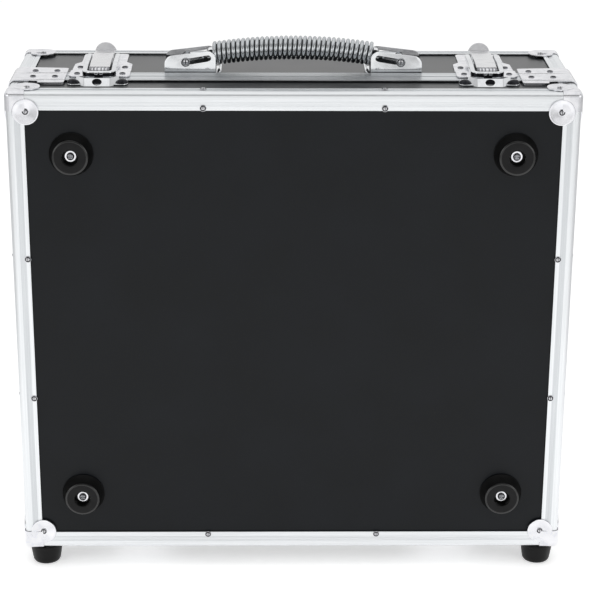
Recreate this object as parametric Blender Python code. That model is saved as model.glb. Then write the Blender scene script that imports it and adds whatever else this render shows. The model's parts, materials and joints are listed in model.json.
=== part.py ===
"""Guitar pedal case: a shallow tray and a deep lid of black board with aluminium edges.

The case stands on its hinge side, the way it is carried: the handle and the latches are on top,
the tray's bottom board faces -Y and the lid's board faces +Y. +Z is up and lengths are in metres.
The origin is on the ground under the middle of the case.

Pieces are drawn in the case's own frame and then hung on empties, one for each moving body:
x from the middle, y as depth from the outer face of the tray's trim, z from the underside of the trim.
"""

import math

import bmesh
import bpy
from mathutils import Matrix, Vector

# The two boxes
CASE_WIDTH = 0.450
CASE_HEIGHT = 0.395
CASE_DEPTH = 0.150
TRAY_DEPTH = 0.040
BOARD_THICKNESS = 0.006
SEAM_GAP = 0.0006

# Clearances, the step between two joined faces, and the extra reach of a cutting solid
FIT_GAP = 0.0003
FACE_STEP = 0.0001
OVERRUN = 0.010
WELD_DISTANCE = 0.000001

# Aluminium angle on the outer edges. The boards' edges are eased to clear its rounded inside
TRIM_THICKNESS = 0.0012
TRIM_FLANGE = 0.0144
TRIM_RADIUS = 0.0034
EASED_SHARE = 0.6

# Aluminium profile round the lid's mouth: a channel over the edge of the boards
CLOSURE_WIDTH = 0.0247
CLOSURE_PROUD = 0.0003
CLOSURE_LIP = 0.0012
CLOSURE_INNER_DEPTH = 0.010

# Three-lobed corner caps
CAP_THICKNESS = 0.0006
CAP_PLATE = 0.0170
CAP_LOBE_RADIUS = 0.0105
CAP_LOBE_INSET = 0.0155

# Bent braces at the corners of the seam
BRACE_THICKNESS = 0.0010
BRACE_REACH = 0.0430
BRACE_LIP = 0.0060
BRACE_TAB = 0.0050
BRACE_TAB_START = 0.0220
BRACE_LENGTH = 0.0440
BRACE_SLANT = 0.0030
BRACE_CORNER_RADIUS = 0.0025

# Round feet on the tray's bottom board
BASE_FOOT_INSET = 0.0500
BASE_FOOT_HEIGHT = 0.0115
BASE_FOOT_RADIUS = 0.0175
BASE_FOOT_TIP_RADIUS = 0.0140
BASE_FOOT_EDGE = 0.0010
FOOT_RECESS_RADIUS = 0.0056
FOOT_FLOOR = 0.0050
SCREW_RADIUS = 0.0020
SCREW_HEAD_RADIUS = 0.0030
SCREW_HEAD_HEIGHT = 0.0020
WASHER_RADIUS = 0.0046
WASHER_THICKNESS = 0.0010
SCREW_CLEARANCE = 0.0004

# Smaller feet under the hinge side
STAND_FOOT_HEIGHT = 0.0174
STAND_FOOT_RADIUS = 0.0135
STAND_FOOT_TIP_RADIUS = 0.0113
STAND_FOOT_ROUND = 0.0025
STAND_FOOT_RECESS_RADIUS = 0.0045
STAND_FOOT_RECESS_DEPTH = 0.0060

# Butt hinges under the seam
HINGE_INSET = 0.095
HINGE_WIDTH = 0.046
HINGE_LEAF_THICKNESS = 0.0015
HINGE_LEAF_LENGTH = 0.023
HINGE_KNUCKLE_RADIUS = 0.0032
HINGE_KNUCKLE_WIDTH = 0.0152
HINGE_PIN_RADIUS = 0.0016
HINGE_PIN_OVERHANG = 0.0010
HINGE_SETTING = 0.0025
PIN_CLEARANCE = 0.0003
KNUCKLE_CLEARANCE = 0.0006

# Linings inside
TRAY_LINING_THICKNESS = 0.004
LID_FOAM_THICKNESS = 0.012
LINING_MARGIN = 0.0015
LINING_EDGE = 0.0012

# Latch plate on the lid
LATCH_BRACE_GAP = 0.0020
LATCH_SETBACK = 0.0060
LATCH_PLATE_THICKNESS = 0.0012
LATCH_WIDTH = 0.0490
LATCH_SHOULDER_WIDTH = 0.0470
LATCH_TAIL_WIDTH = 0.0370
LATCH_SHOULDER_LENGTH = 0.0500
LATCH_NECK_LENGTH = 0.0570
LATCH_TAIL_GAP = 0.0026
LATCH_CORNER_RADIUS = 0.0040
LATCH_STEP_RUN = 0.0010

# Latch lever
LEVER_PIVOT_SETBACK = 0.0120
LEVER_KNUCKLE_RADIUS = 0.0026
LEVER_PIN_RADIUS = 0.0015
LEVER_WIDTH = 0.0176
LEVER_LENGTH = 0.0680
LEVER_BEND = 0.0190
LEVER_THICKNESS = 0.0014
LEVER_RISE = 0.0010
LEVER_STEP = 0.0485
LEVER_STEP_DROP = 0.0015
LEVER_KNUCKLE_WIDTH = 0.0017
LEVER_WEB = 0.0022
LEVER_FLANGE_THICKNESS = 0.0012
LEVER_FLANGE_HEIGHT = 0.0044
LEVER_FLANGE_START = 0.0210
LEVER_FLANGE_LENGTH = 0.0260
THUMB_RADIUS = 0.0091
THUMB_DROP = 0.0028

# Latch hook
HOOK_PIVOT_SETBACK = 0.0320
HOOK_PIVOT_RISE = 0.0010
HOOK_PIN_RADIUS = 0.0013
HOOK_LEVER_GAP = 0.0007
HOOK_ARM_WIDTH = 0.0041
HOOK_ARM_HEIGHT = 0.0048
HOOK_BAR_RISE = 0.0042
HOOK_BAR_DEPTH = 0.0035
HOOK_TAIL = 0.0160
HOOK_BEND_RADIUS = 0.0090
HOOK_INNER_RADIUS = 0.0035
HOOK_TONGUE_WIDTH = 0.0070
HOOK_TONGUE_THICKNESS = 0.0012
HOOK_TONGUE_DROP = 0.0011
HOOK_TONGUE_SETBACK = 0.0074
HOOK_FRONT_GAP = 0.0019

# Latch keeper on the tray
KEEPER_SEAM_MARGIN = 0.0015
KEEPER_DEPTH = 0.0135
KEEPER_FRONT_WIDTH = 0.0190
KEEPER_WIDTH = 0.0340
KEEPER_SLANT = 0.0065
KEEPER_EAR_WIDTH = 0.0486
KEEPER_EAR_DEPTH = 0.0105
KEEPER_EAR_RADIUS = 0.0050
KEEPER_HEIGHT = 0.0060
KEEPER_THICKNESS = 0.0012
KEEPER_RIDGE_THICKNESS = 0.0018
KEEPER_RIDGE_HEIGHT = 0.0005
KEEPER_RIDGE_CLEARANCE = 0.0031
KEEPER_HOLE_RADIUS = 0.0036

# Handle brackets on the lid, set off from the latches
HANDLE_LATCH_GAP = 0.0270
BRACKET_LENGTH = 0.0446
BRACKET_HALF_WIDTH = 0.0116
BRACKET_FOOT = 0.0016
BRACKET_FOOT_HEIGHT = 0.0045
BRACKET_THICKNESS = 0.0012
BRACKET_BASE_THICKNESS = 0.0015
BRACKET_OUTER_HEIGHT = 0.0142
BRACKET_INNER_HEIGHT = 0.0192
BRACKET_CHEEK_SETBACK = 0.0034
BRACKET_INNER_ROUND = 0.0072
BRACKET_OUTER_ROUND = 0.0055
BRACKET_TAB_HEIGHT = 0.0064
BRACKET_TAB_THICKNESS = 0.0012
BRACKET_TAB_ROOT = 0.0024
SLOT_WIDTH = 0.0050
SLOT_LENGTH = 0.0183
SLOT_SLOPE = 0.164
SLOT_DROP = 0.0003
SLOT_ROUND_RADIUS = 0.00375

# Handle grip: a bent core with a wound spring round it
GRIP_BRACKET_OVERLAP = 0.0051
GRIP_END_HEIGHT = 0.0146
GRIP_RISE = 0.0050
SPRING_PITCH = 0.0038
SPRING_TURN_POINTS = 9
WIRE_RADIUS = 0.0015
CORE_RADIUS = 0.0062
CORE_CLEARANCE = 0.0005
CORE_POINTS = 17

# Strap ends, which carry the cross pins
STRAP_PIVOT_OVERHANG = 0.0020
STRAP_BARREL_RADIUS = 0.0042
STRAP_NECK_WIDTH = 0.0090
STRAP_WIDTH = 0.0140
STRAP_THICKNESS = 0.0025
STRAP_NECK_LENGTH = 0.0050
STRAP_EYE_RADIUS = 0.0032
STRAP_PIN_SETBACK = 0.0170
STRAP_PIN_HEIGHT = 0.0104
STRAP_PIN_RADIUS = 0.0017
STRAP_HEAD_RADIUS = 0.0033
STRAP_HEAD_THICKNESS = 0.0010

# Facets
ROUND_STEPS = 3
ROUND_PROFILE = 0.5
FOOT_SIDES = 24
CAP_SIDES = 22
PIN_SIDES = 12
SMOOTH_ANGLE = math.radians(32)

# Planes of the case that several pieces are set from
HALF_WIDTH = CASE_WIDTH / 2
BOARD_INSET = TRIM_THICKNESS + FIT_GAP
INNER_INSET = BOARD_INSET + BOARD_THICKNESS
BOARD_EASE = EASED_SHARE * (TRIM_RADIUS - TRIM_THICKNESS)
TRAY_EDGE = TRAY_DEPTH - SEAM_GAP / 2
LID_EDGE = TRAY_DEPTH + SEAM_GAP / 2
CLOSURE_BACK = LID_EDGE + CLOSURE_WIDTH
LID_BOARD_START = LID_EDGE + CLOSURE_LIP + FIT_GAP
CAP_PROUD = FIT_GAP + CAP_THICKNESS
LOBE_PROUD = CAP_PROUD + FACE_STEP
TOP_BOARD = CASE_HEIGHT - BOARD_INSET

# Places along the width, from the corners inward
LATCH_X = HALF_WIDTH - BRACE_REACH - LATCH_BRACE_GAP - LATCH_WIDTH / 2
HINGE_X = HALF_WIDTH - HINGE_INSET
BRACKET_OUTER_X = LATCH_X - LATCH_WIDTH / 2 - HANDLE_LATCH_GAP
BRACKET_INNER_X = BRACKET_OUTER_X - BRACKET_LENGTH
STRAP_PIN_X = BRACKET_OUTER_X - STRAP_PIN_SETBACK
GRIP_HALF_LENGTH = BRACKET_INNER_X + GRIP_BRACKET_OVERLAP

# The frame's place in the world: on the ground, and centred over the origin
UNDERSIDE_Z = STAND_FOOT_HEIGHT + FIT_GAP + LOBE_PROUD
BASE_FOOT_REACH = BASE_FOOT_HEIGHT + FIT_GAP - BOARD_INSET
FRONT_Y = (BASE_FOOT_REACH - CASE_DEPTH - LOBE_PROUD) / 2

# Joint axes, in the case's frame
HINGE_AXIS = Vector((0, TRAY_DEPTH, -CLOSURE_PROUD - FIT_GAP - HINGE_KNUCKLE_RADIUS))
LATCH_PLATE_TOP = CASE_HEIGHT + CLOSURE_PROUD + FIT_GAP + LATCH_PLATE_THICKNESS
LEVER_AXIS = Vector(
    (0, TRAY_DEPTH + LEVER_PIVOT_SETBACK, LATCH_PLATE_TOP + FIT_GAP + LEVER_KNUCKLE_RADIUS)
)
HOOK_AXIS = LEVER_AXIS + Vector((0, HOOK_PIVOT_SETBACK, HOOK_PIVOT_RISE))
HANDLE_DEPTH = CLOSURE_BACK + FIT_GAP + BRACKET_HALF_WIDTH + BRACKET_FOOT
GRIP_CENTRE = Vector((0, HANDLE_DEPTH, TOP_BOARD + GRIP_END_HEIGHT + GRIP_RISE))
STRAP_AXIS = Vector(
    (GRIP_HALF_LENGTH + STRAP_PIVOT_OVERHANG, HANDLE_DEPTH, TOP_BOARD + GRIP_END_HEIGHT)
)
STRAP_PIN = Vector((STRAP_PIN_X, HANDLE_DEPTH, TOP_BOARD + STRAP_PIN_HEIGHT))
GRIP_BEND_RADIUS = (GRIP_HALF_LENGTH**2 + GRIP_RISE**2) / (2 * GRIP_RISE)
SPRING_TURNS = round(2 * GRIP_HALF_LENGTH / SPRING_PITCH)
COIL_RADIUS = CORE_RADIUS + CORE_CLEARANCE + WIRE_RADIUS

# Edges of a block, each named by the two sides that meet there
ROUND_THE_FACE = ("left", "right", "bottom", "top")
FRONT_EDGES = [("front", side) for side in ROUND_THE_FACE]
BACK_EDGES = [("back", side) for side in ROUND_THE_FACE]
DEPTH_EDGES = [(side, level) for side in ("left", "right") for level in ("bottom", "top")]
CORNER_EDGES = [("left", "front"), ("front", "bottom"), ("left", "bottom")]


def mesh_from(bm):
    """The finished mesh of a bmesh, with its faces pointing out."""
    bmesh.ops.recalc_face_normals(bm, faces=bm.faces)
    mesh = bpy.data.meshes.new("piece")
    bm.to_mesh(mesh)
    bm.free()
    return mesh


def block(low, high, eased=(), radius=0.0, steps=1):
    """A rectangular solid between two corners, with the named edges chamfered or rounded."""
    bm = bmesh.new()
    bmesh.ops.create_cube(bm, size=1)
    low, high = Vector(low), Vector(high)
    for vert in bm.verts:
        vert.co = Vector(high[i] if vert.co[i] > 0 else low[i] for i in range(3))

    pairs = (("left", "right"), ("front", "back"), ("bottom", "top"))

    def on_side(vert, side):
        axis = next(i for i, pair in enumerate(pairs) if side in pair)
        corner = low if side == pairs[axis][0] else high
        return vert.co[axis] == corner[axis]

    edges = [
        edge
        for edge in bm.edges
        if any(all(on_side(vert, side) for vert in edge.verts for side in pair) for pair in eased)
    ]
    if edges:
        bmesh.ops.bevel(bm, geom=edges, offset=radius, segments=steps, profile=ROUND_PROFILE, affect="EDGES")
    return mesh_from(bm)


def prism(outline, axis, low, high):
    """A straight solid: an outline of (x, y) points run along z, (x, z) along y, or (y, z) along x."""
    place = {
        "x": lambda u, v, along: (along, u, v),
        "y": lambda u, v, along: (u, along, v),
        "z": lambda u, v, along: (u, v, along),
    }[axis]
    bm = bmesh.new()
    lower = [bm.verts.new(place(u, v, low)) for u, v in outline]
    upper = [bm.verts.new(place(u, v, high)) for u, v in outline]
    bm.faces.new(lower)
    bm.faces.new(upper)
    for i in range(len(outline)):
        bm.faces.new((lower[i - 1], lower[i], upper[i], upper[i - 1]))
    return mesh_from(bm)


def rounded_outline(corners, steps=ROUND_STEPS):
    """The points of a closed outline given as (u, v, radius) corners."""
    points = []
    for i, (u, v, radius) in enumerate(corners):
        corner = Vector((u, v))
        if radius == 0:
            points.append(corner)
            continue
        before = (Vector(corners[i - 1][:2]) - corner).normalized()
        after = (Vector(corners[(i + 1) % len(corners)][:2]) - corner).normalized()
        half_angle = before.angle(after) / 2
        centre = corner + (before + after).normalized() * radius / math.sin(half_angle)
        start = corner + before * radius / math.tan(half_angle) - centre
        end = corner + after * radius / math.tan(half_angle) - centre
        first = math.atan2(start.y, start.x)
        sweep = (math.atan2(end.y, end.x) - first + math.pi) % math.tau - math.pi
        for step in range(steps + 1):
            angle = first + sweep * step / steps
            points.append(centre + radius * Vector((math.cos(angle), math.sin(angle))))
    return points


def mirrored_outline(half):
    """A closed outline from its right half, listed from one end of the middle line to the other."""
    return list(half) + [(-u, *rest) for u, *rest in reversed(half)]


def turned(profile, foot, direction, sides):
    """A solid turned round an axis: (radius, distance) points along a direction from its foot."""
    bm = bmesh.new()
    verts = [bm.verts.new((radius, 0, along)) for radius, along in profile]
    edges = [bm.edges.new(pair) for pair in zip(verts, verts[1:])]
    bmesh.ops.spin(
        bm,
        geom=verts + edges,
        cent=(0, 0, 0),
        axis=(0, 0, 1),
        angle=math.tau,
        steps=sides,
        use_merge=True,
    )
    bmesh.ops.remove_doubles(bm, verts=bm.verts, dist=WELD_DISTANCE)
    mesh = mesh_from(bm)
    turn = Vector(direction).to_track_quat("Z", "Y").to_matrix().to_4x4()
    mesh.transform(Matrix.Translation(foot) @ turn)
    return mesh


def rod(start, end, radius, sides=PIN_SIDES):
    """A round bar between two points."""
    run = Vector(end) - Vector(start)
    profile = [(0, 0), (radius, 0), (radius, run.length), (0, run.length)]
    return turned(profile, start, run, sides)


def stepped_bar(centre, direction, stretches):
    """A round bar about its centre: each stretch is a radius and how far from the centre it reaches."""
    half = []
    for i, (radius, reach) in enumerate(stretches):
        if i:
            half.append((radius, stretches[i - 1][1]))
        half.append((radius, reach))
    half.append((0, stretches[-1][1]))
    profile = [(radius, -along) for radius, along in reversed(half)] + half
    return turned(profile, centre, direction, PIN_SIDES)


def boolean(operation, first, others):
    """The mesh left when other solids are joined to a first one, cut from it or crossed with it."""
    for other in others:
        target = bpy.data.objects.new("target", first)
        tool = bpy.data.objects.new("tool", other)
        bpy.context.scene.collection.objects.link(target)
        bpy.context.scene.collection.objects.link(tool)
        modifier = target.modifiers.new("boolean", "BOOLEAN")
        modifier.operation = operation
        modifier.object = tool
        graph = bpy.context.evaluated_depsgraph_get()
        first = bpy.data.meshes.new_from_object(target.evaluated_get(graph))
        bpy.data.objects.remove(target)
        bpy.data.objects.remove(tool)
    return first


def joined(first, *others):
    return boolean("UNION", first, others)


def cut(first, *others):
    return boolean("DIFFERENCE", first, others)


def crossed(first, *others):
    return boolean("INTERSECT", first, others)


def copied(mesh, matrix):
    """A copy of a mesh that is moved or mirrored, with its faces still pointing out."""
    copy = mesh.copy()
    copy.transform(matrix)
    if matrix.determinant() < 0:
        copy.flip_normals()
    return copy


def shifted(mesh, x):
    return copied(mesh, Matrix.Translation((x, 0, 0)))


def mirrored(mesh):
    return copied(mesh, Matrix.Diagonal((-1, 1, 1, 1)))


def at_corner(mesh, side, back, top):
    """A mesh drawn inward from the origin, set at one of the eight corners of the case."""
    place = Matrix.Translation(
        (side * HALF_WIDTH, CASE_DEPTH if back else 0, CASE_HEIGHT if top else 0)
    )
    turn = Matrix.Diagonal((-side, -1 if back else 1, -1 if top else 1, 1))
    return copied(mesh, place @ turn)


def inset_block(inset, front, back, eased=(), radius=0.0, steps=1):
    """A block over the whole width and height of the case, less an inset all round."""
    low = (inset - HALF_WIDTH, front, inset)
    high = (HALF_WIDTH - inset, back, CASE_HEIGHT - inset)
    return block(low, high, eased, radius, steps)


class Builder:
    """Adds pieces to the scene, each with its material, hung on the empty of its moving body."""

    def __init__(self):
        for obj in list(bpy.data.objects):
            bpy.data.objects.remove(obj)
        self.materials = {}
        self.origins = {}
        self.empties = {}

    def material(self, name, colour, roughness, metallic):
        made = bpy.data.materials.new(name)
        made.use_nodes = True
        shader = made.node_tree.nodes["Principled BSDF"]
        shader.inputs["Base Color"].default_value = (*colour, 1)
        shader.inputs["Roughness"].default_value = roughness
        shader.inputs["Metallic"].default_value = metallic
        self.materials[name] = made

    def body(self, name, parent, origin):
        """An empty on a body's joint axis, at a place in the case's frame."""
        empty = bpy.data.objects.new(name, None)
        bpy.context.scene.collection.objects.link(empty)
        empty.empty_display_size = OVERRUN
        self.origins[name] = Vector(origin)
        self.empties[name] = empty
        empty.location = origin
        if parent:
            empty.parent = self.empties[parent]
            empty.location = Vector(origin) - self.origins[parent]

    def hang(self, obj, material, body):
        obj.data.materials.clear()
        obj.data.materials.append(self.materials[material])
        obj.parent = self.empties[body]
        bpy.context.scene.collection.objects.link(obj)

    def part(self, name, mesh, material, body):
        mesh = copied(mesh, Matrix.Translation(-self.origins[body]))
        mesh.name = name
        mesh.shade_smooth()
        mesh.set_sharp_from_angle(angle=SMOOTH_ANGLE)
        self.hang(bpy.data.objects.new(name, mesh), material, body)

    def tube(self, name, points, radius, resolution, material, body):
        """A round tube along points, with closed ends."""
        curve = bpy.data.curves.new(name, "CURVE")
        curve.dimensions = "3D"
        curve.bevel_depth = radius
        curve.bevel_resolution = resolution
        curve.use_fill_caps = True
        spline = curve.splines.new("POLY")
        spline.points.add(len(points) - 1)
        for target, point in zip(spline.points, points):
            target.co = (*(point - self.origins[body]), 1)
        self.hang(bpy.data.objects.new(name, curve), material, body)


def add_materials(build):
    build.material("black_board", (0.017, 0.018, 0.020), 0.45, 0.0)
    build.material("aluminium_trim", (0.80, 0.81, 0.82), 0.32, 1.0)
    build.material("zinc_steel", (0.74, 0.74, 0.75), 0.28, 1.0)
    build.material("chrome", (0.84, 0.85, 0.86), 0.10, 1.0)
    build.material("spring_wire", (0.60, 0.61, 0.62), 0.22, 1.0)
    build.material("rubber", (0.012, 0.012, 0.013), 0.60, 0.0)
    build.material("core_plastic", (0.020, 0.020, 0.022), 0.50, 0.0)
    build.material("lining_felt", (0.035, 0.036, 0.040), 0.95, 0.0)
    build.material("foam", (0.045, 0.046, 0.050), 0.95, 0.0)


def add_bodies(build):
    """The moving bodies, each on its joint axis."""
    build.body("case", None, (0, 0, 0))
    build.empties["case"].location = (0, FRONT_Y, UNDERSIDE_Z)
    build.body("tray", "case", (0, 0, 0))
    build.body("lid", "case", HINGE_AXIS)
    for side, sign in (("left", -1), ("right", 1)):
        across = Vector((sign * LATCH_X, 0, 0))
        build.body(f"lever_{side}", "lid", LEVER_AXIS + across)
        build.body(f"hook_{side}", f"lever_{side}", HOOK_AXIS + across)
    build.body("grip", "lid", GRIP_CENTRE)
    for side, sign in (("left", -1), ("right", 1)):
        build.body(f"strap_{side}", "grip", STRAP_AXIS * Vector((sign, 1, 1)))


def add_boards(build):
    """Two bottom boards and eight wall boards, outer edges eased under the trim."""
    tray_walls = (INNER_INSET + FIT_GAP, TRAY_EDGE)
    lid_walls = (LID_BOARD_START, CASE_DEPTH - INNER_INSET - FIT_GAP)
    tray_panel = inset_block(BOARD_INSET, BOARD_INSET, INNER_INSET, FRONT_EDGES + DEPTH_EDGES, BOARD_EASE)
    lid_panel = inset_block(
        BOARD_INSET,
        CASE_DEPTH - INNER_INSET,
        CASE_DEPTH - BOARD_INSET,
        BACK_EDGES + DEPTH_EDGES,
        BOARD_EASE,
    )
    build.part("tray_panel", tray_panel, "black_board", "tray")
    build.part("lid_panel", lid_panel, "black_board", "lid")
    outer_x, inner_x = HALF_WIDTH - BOARD_INSET, HALF_WIDTH - INNER_INSET
    side_low, side_high = INNER_INSET + FIT_GAP, CASE_HEIGHT - INNER_INSET - FIT_GAP
    for body, (front, back) in (("tray", tray_walls), ("lid", lid_walls)):
        levels = {"bottom": (BOARD_INSET, INNER_INSET), "top": (CASE_HEIGHT - INNER_INSET, TOP_BOARD)}
        for level, (low, high) in levels.items():
            ends = [("left", level), ("right", level)]
            wall = block((-outer_x, front, low), (outer_x, back, high), ends, BOARD_EASE)
            build.part(f"{body}_wall_{level}", wall, "black_board", body)
        wall = block((inner_x, front, side_low), (outer_x, back, side_high))
        build.part(f"{body}_wall_right", wall, "black_board", body)
        build.part(f"{body}_wall_left", mirrored(wall), "black_board", body)


def edge_trim(front, back, closed_front):
    """Angle on the outer edges of one box: a thin rounded shell with its faces cut open."""
    eased = (FRONT_EDGES if closed_front else BACK_EDGES) + DEPTH_EDGES
    shell = inset_block(0, front, back, eased, TRIM_RADIUS, ROUND_STEPS)
    hollow = inset_block(
        TRIM_THICKNESS,
        front + TRIM_THICKNESS if closed_front else front - OVERRUN,
        back + OVERRUN if closed_front else back - TRIM_THICKNESS,
        eased,
        TRIM_RADIUS - TRIM_THICKNESS,
        ROUND_STEPS,
    )
    face_window = inset_block(TRIM_FLANGE, front - OVERRUN, back + OVERRUN)
    window_front = front + TRIM_FLANGE if closed_front else front - OVERRUN
    window_back = back + OVERRUN if closed_front else back - TRIM_FLANGE
    across = HALF_WIDTH - TRIM_FLANGE
    beyond = HALF_WIDTH + OVERRUN
    top_window = block((-across, window_front, -OVERRUN), (across, window_back, CASE_HEIGHT + OVERRUN))
    side_window = block(
        (-beyond, window_front, TRIM_FLANGE), (beyond, window_back, CASE_HEIGHT - TRIM_FLANGE)
    )
    return cut(shell, hollow, face_window, top_window, side_window)


def closure_profile():
    """The channel round the lid's mouth: an outer band, a web over the boards' edge, an inner leg."""
    band_inner = FIT_GAP + CLOSURE_LIP + INNER_INSET
    outer = inset_block(
        -CLOSURE_PROUD, LID_EDGE, CLOSURE_BACK, DEPTH_EDGES, TRIM_RADIUS + CLOSURE_PROUD, ROUND_STEPS
    )
    channel = inset_block(
        TRIM_THICKNESS,
        LID_EDGE + CLOSURE_LIP,
        CLOSURE_BACK + OVERRUN,
        DEPTH_EDGES,
        TRIM_RADIUS - TRIM_THICKNESS,
        ROUND_STEPS,
    )
    leg_start, leg_end = LID_EDGE + CLOSURE_LIP / 2, LID_EDGE + CLOSURE_INNER_DEPTH
    inner_leg = inset_block(band_inner - CLOSURE_LIP, leg_start, leg_end)
    mouth = inset_block(band_inner, LID_EDGE - OVERRUN, CLOSURE_BACK + OVERRUN)
    return cut(joined(cut(outer, channel), inner_leg), mouth)


def corner_cap():
    """A cap drawn inward from a corner at the origin: three plates with a round lobe on each."""
    inner_radius = TRIM_RADIUS + FIT_GAP
    outer = block(
        [-CAP_PROUD] * 3, [CAP_PLATE] * 3, CORNER_EDGES, inner_radius + CAP_THICKNESS, ROUND_STEPS
    )
    hollow = block(
        [-FIT_GAP] * 3, [CAP_PLATE + OVERRUN] * 3, CORNER_EDGES, inner_radius, ROUND_STEPS
    )
    lobes = []
    for axis in range(3):
        start = [CAP_LOBE_INSET] * 3
        end = [CAP_LOBE_INSET] * 3
        start[axis] = -LOBE_PROUD
        end[axis] = -FIT_GAP - FACE_STEP
        lobes.append(rod(start, end, CAP_LOBE_RADIUS, CAP_SIDES))
    return joined(cut(outer, hollow), *lobes)


def corner_brace(top):
    """A bent plate over the seam, drawn inward from the corner, its front lip over the tray.

    The lip stops short of the corner. Under the case, where the hinges are, it is left off.
    """
    inner_face = -CLOSURE_PROUD - FIT_GAP
    outer_face = inner_face - BRACE_THICKNESS
    inner_radius = TRIM_RADIUS + CLOSURE_PROUD + FIT_GAP
    front = TRAY_DEPTH - BRACE_LIP
    back = front + BRACE_LENGTH
    bend = [
        (outer_face, BRACE_REACH, 0),
        (outer_face, outer_face, inner_radius + BRACE_THICKNESS),
        (BRACE_REACH, outer_face, 0),
        (BRACE_REACH, inner_face, 0),
        (inner_face, inner_face, inner_radius),
        (inner_face, BRACE_REACH, 0),
    ]
    plate = prism(rounded_outline(bend), "y", front - BRACE_TAB, back)
    outline = rounded_outline(
        [
            (-OVERRUN, front - BRACE_TAB, 0),
            (BRACE_REACH, front - BRACE_TAB, BRACE_CORNER_RADIUS),
            (BRACE_REACH, back - BRACE_SLANT, BRACE_CORNER_RADIUS),
            (0, back, 0),
            (-OVERRUN, back, 0),
        ]
    )
    side_outline = [(v, u) for u, v in outline]
    across = prism(outline, "z", -OVERRUN, BRACE_REACH + OVERRUN)
    upright = prism(side_outline, "x", -OVERRUN, BRACE_REACH + OVERRUN)
    corner = block(
        (-OVERRUN, front - BRACE_TAB - OVERRUN, -OVERRUN), (BRACE_TAB_START, front, BRACE_TAB_START)
    )
    brace = cut(crossed(plate, across, upright), corner)
    if top:
        return brace
    hinge_side = block(
        (-OVERRUN, front - BRACE_TAB - OVERRUN, -OVERRUN),
        (BRACE_REACH + OVERRUN, LID_EDGE, inner_radius + BRACE_THICKNESS),
    )
    return cut(brace, hinge_side)


def add_edges(build):
    """The metal on the edges: trim, closure profile, corner caps and seam braces."""
    tray_trim = edge_trim(0, TRAY_EDGE, closed_front=True)
    lid_trim = edge_trim(CLOSURE_BACK + FIT_GAP, CASE_DEPTH, closed_front=False)
    build.part("tray_edge_trim", tray_trim, "aluminium_trim", "tray")
    build.part("lid_edge_trim", lid_trim, "aluminium_trim", "lid")
    build.part("lid_closure_profile", closure_profile(), "aluminium_trim", "lid")
    cap = corner_cap()
    for body in ("tray", "lid"):
        for level in ("top", "bottom"):
            for side, sign in (("left", -1), ("right", 1)):
                placed = at_corner(cap, sign, body == "lid", level == "top")
                build.part(f"{body}_cap_{level}_{side}", placed, "zinc_steel", body)
    for level in ("top", "bottom"):
        brace = corner_brace(level == "top")
        for side, sign in (("left", -1), ("right", 1)):
            placed = at_corner(brace, sign, False, level == "top")
            build.part(f"corner_brace_{level}_{side}", placed, "zinc_steel", "lid")


def base_foot(x, z):
    """A rubber foot on the tray's bottom board, with a recess for its screw."""
    edge = BASE_FOOT_EDGE
    profile = [
        (SCREW_RADIUS + SCREW_CLEARANCE, 0),
        (BASE_FOOT_RADIUS, 0),
        (BASE_FOOT_RADIUS, edge),
        (BASE_FOOT_TIP_RADIUS, BASE_FOOT_HEIGHT - edge),
        (BASE_FOOT_TIP_RADIUS - edge, BASE_FOOT_HEIGHT),
        (FOOT_RECESS_RADIUS, BASE_FOOT_HEIGHT),
        (FOOT_RECESS_RADIUS, FOOT_FLOOR),
        (SCREW_RADIUS + SCREW_CLEARANCE, FOOT_FLOOR),
        (SCREW_RADIUS + SCREW_CLEARANCE, 0),
    ]
    return turned(profile, (x, BOARD_INSET - FIT_GAP, z), (0, -1, 0), FOOT_SIDES)


def foot_screw(x, z):
    """A pan-head screw and its washer, seated on the floor of a foot's recess."""
    seat = FOOT_FLOOR + FIT_GAP
    profile = [
        (0, FIT_GAP),
        (SCREW_RADIUS, FIT_GAP),
        (SCREW_RADIUS, seat),
        (WASHER_RADIUS, seat),
        (WASHER_RADIUS, seat + WASHER_THICKNESS),
        (SCREW_HEAD_RADIUS, seat + WASHER_THICKNESS),
        (SCREW_HEAD_RADIUS, seat + WASHER_THICKNESS + SCREW_HEAD_HEIGHT / 2),
        (SCREW_RADIUS, seat + WASHER_THICKNESS + SCREW_HEAD_HEIGHT),
        (0, seat + WASHER_THICKNESS + SCREW_HEAD_HEIGHT),
    ]
    return turned(profile, (x, BOARD_INSET - FIT_GAP, z), (0, -1, 0), PIN_SIDES)


def stand_foot(x, depth):
    """A tapered rubber foot under a corner cap, its tip rounded and hollow."""
    tip = STAND_FOOT_HEIGHT
    rounding = rounded_outline(
        [
            (STAND_FOOT_RADIUS, 0, 0),
            (STAND_FOOT_TIP_RADIUS, tip, STAND_FOOT_ROUND),
            (STAND_FOOT_RECESS_RADIUS, tip, 0),
        ]
    )
    profile = [
        (0, 0),
        *rounding,
        (STAND_FOOT_RECESS_RADIUS, tip - STAND_FOOT_RECESS_DEPTH),
        (0, tip - STAND_FOOT_RECESS_DEPTH),
    ]
    return turned(profile, (x, depth, -LOBE_PROUD - FIT_GAP), (0, 0, -1), FOOT_SIDES)


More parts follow.
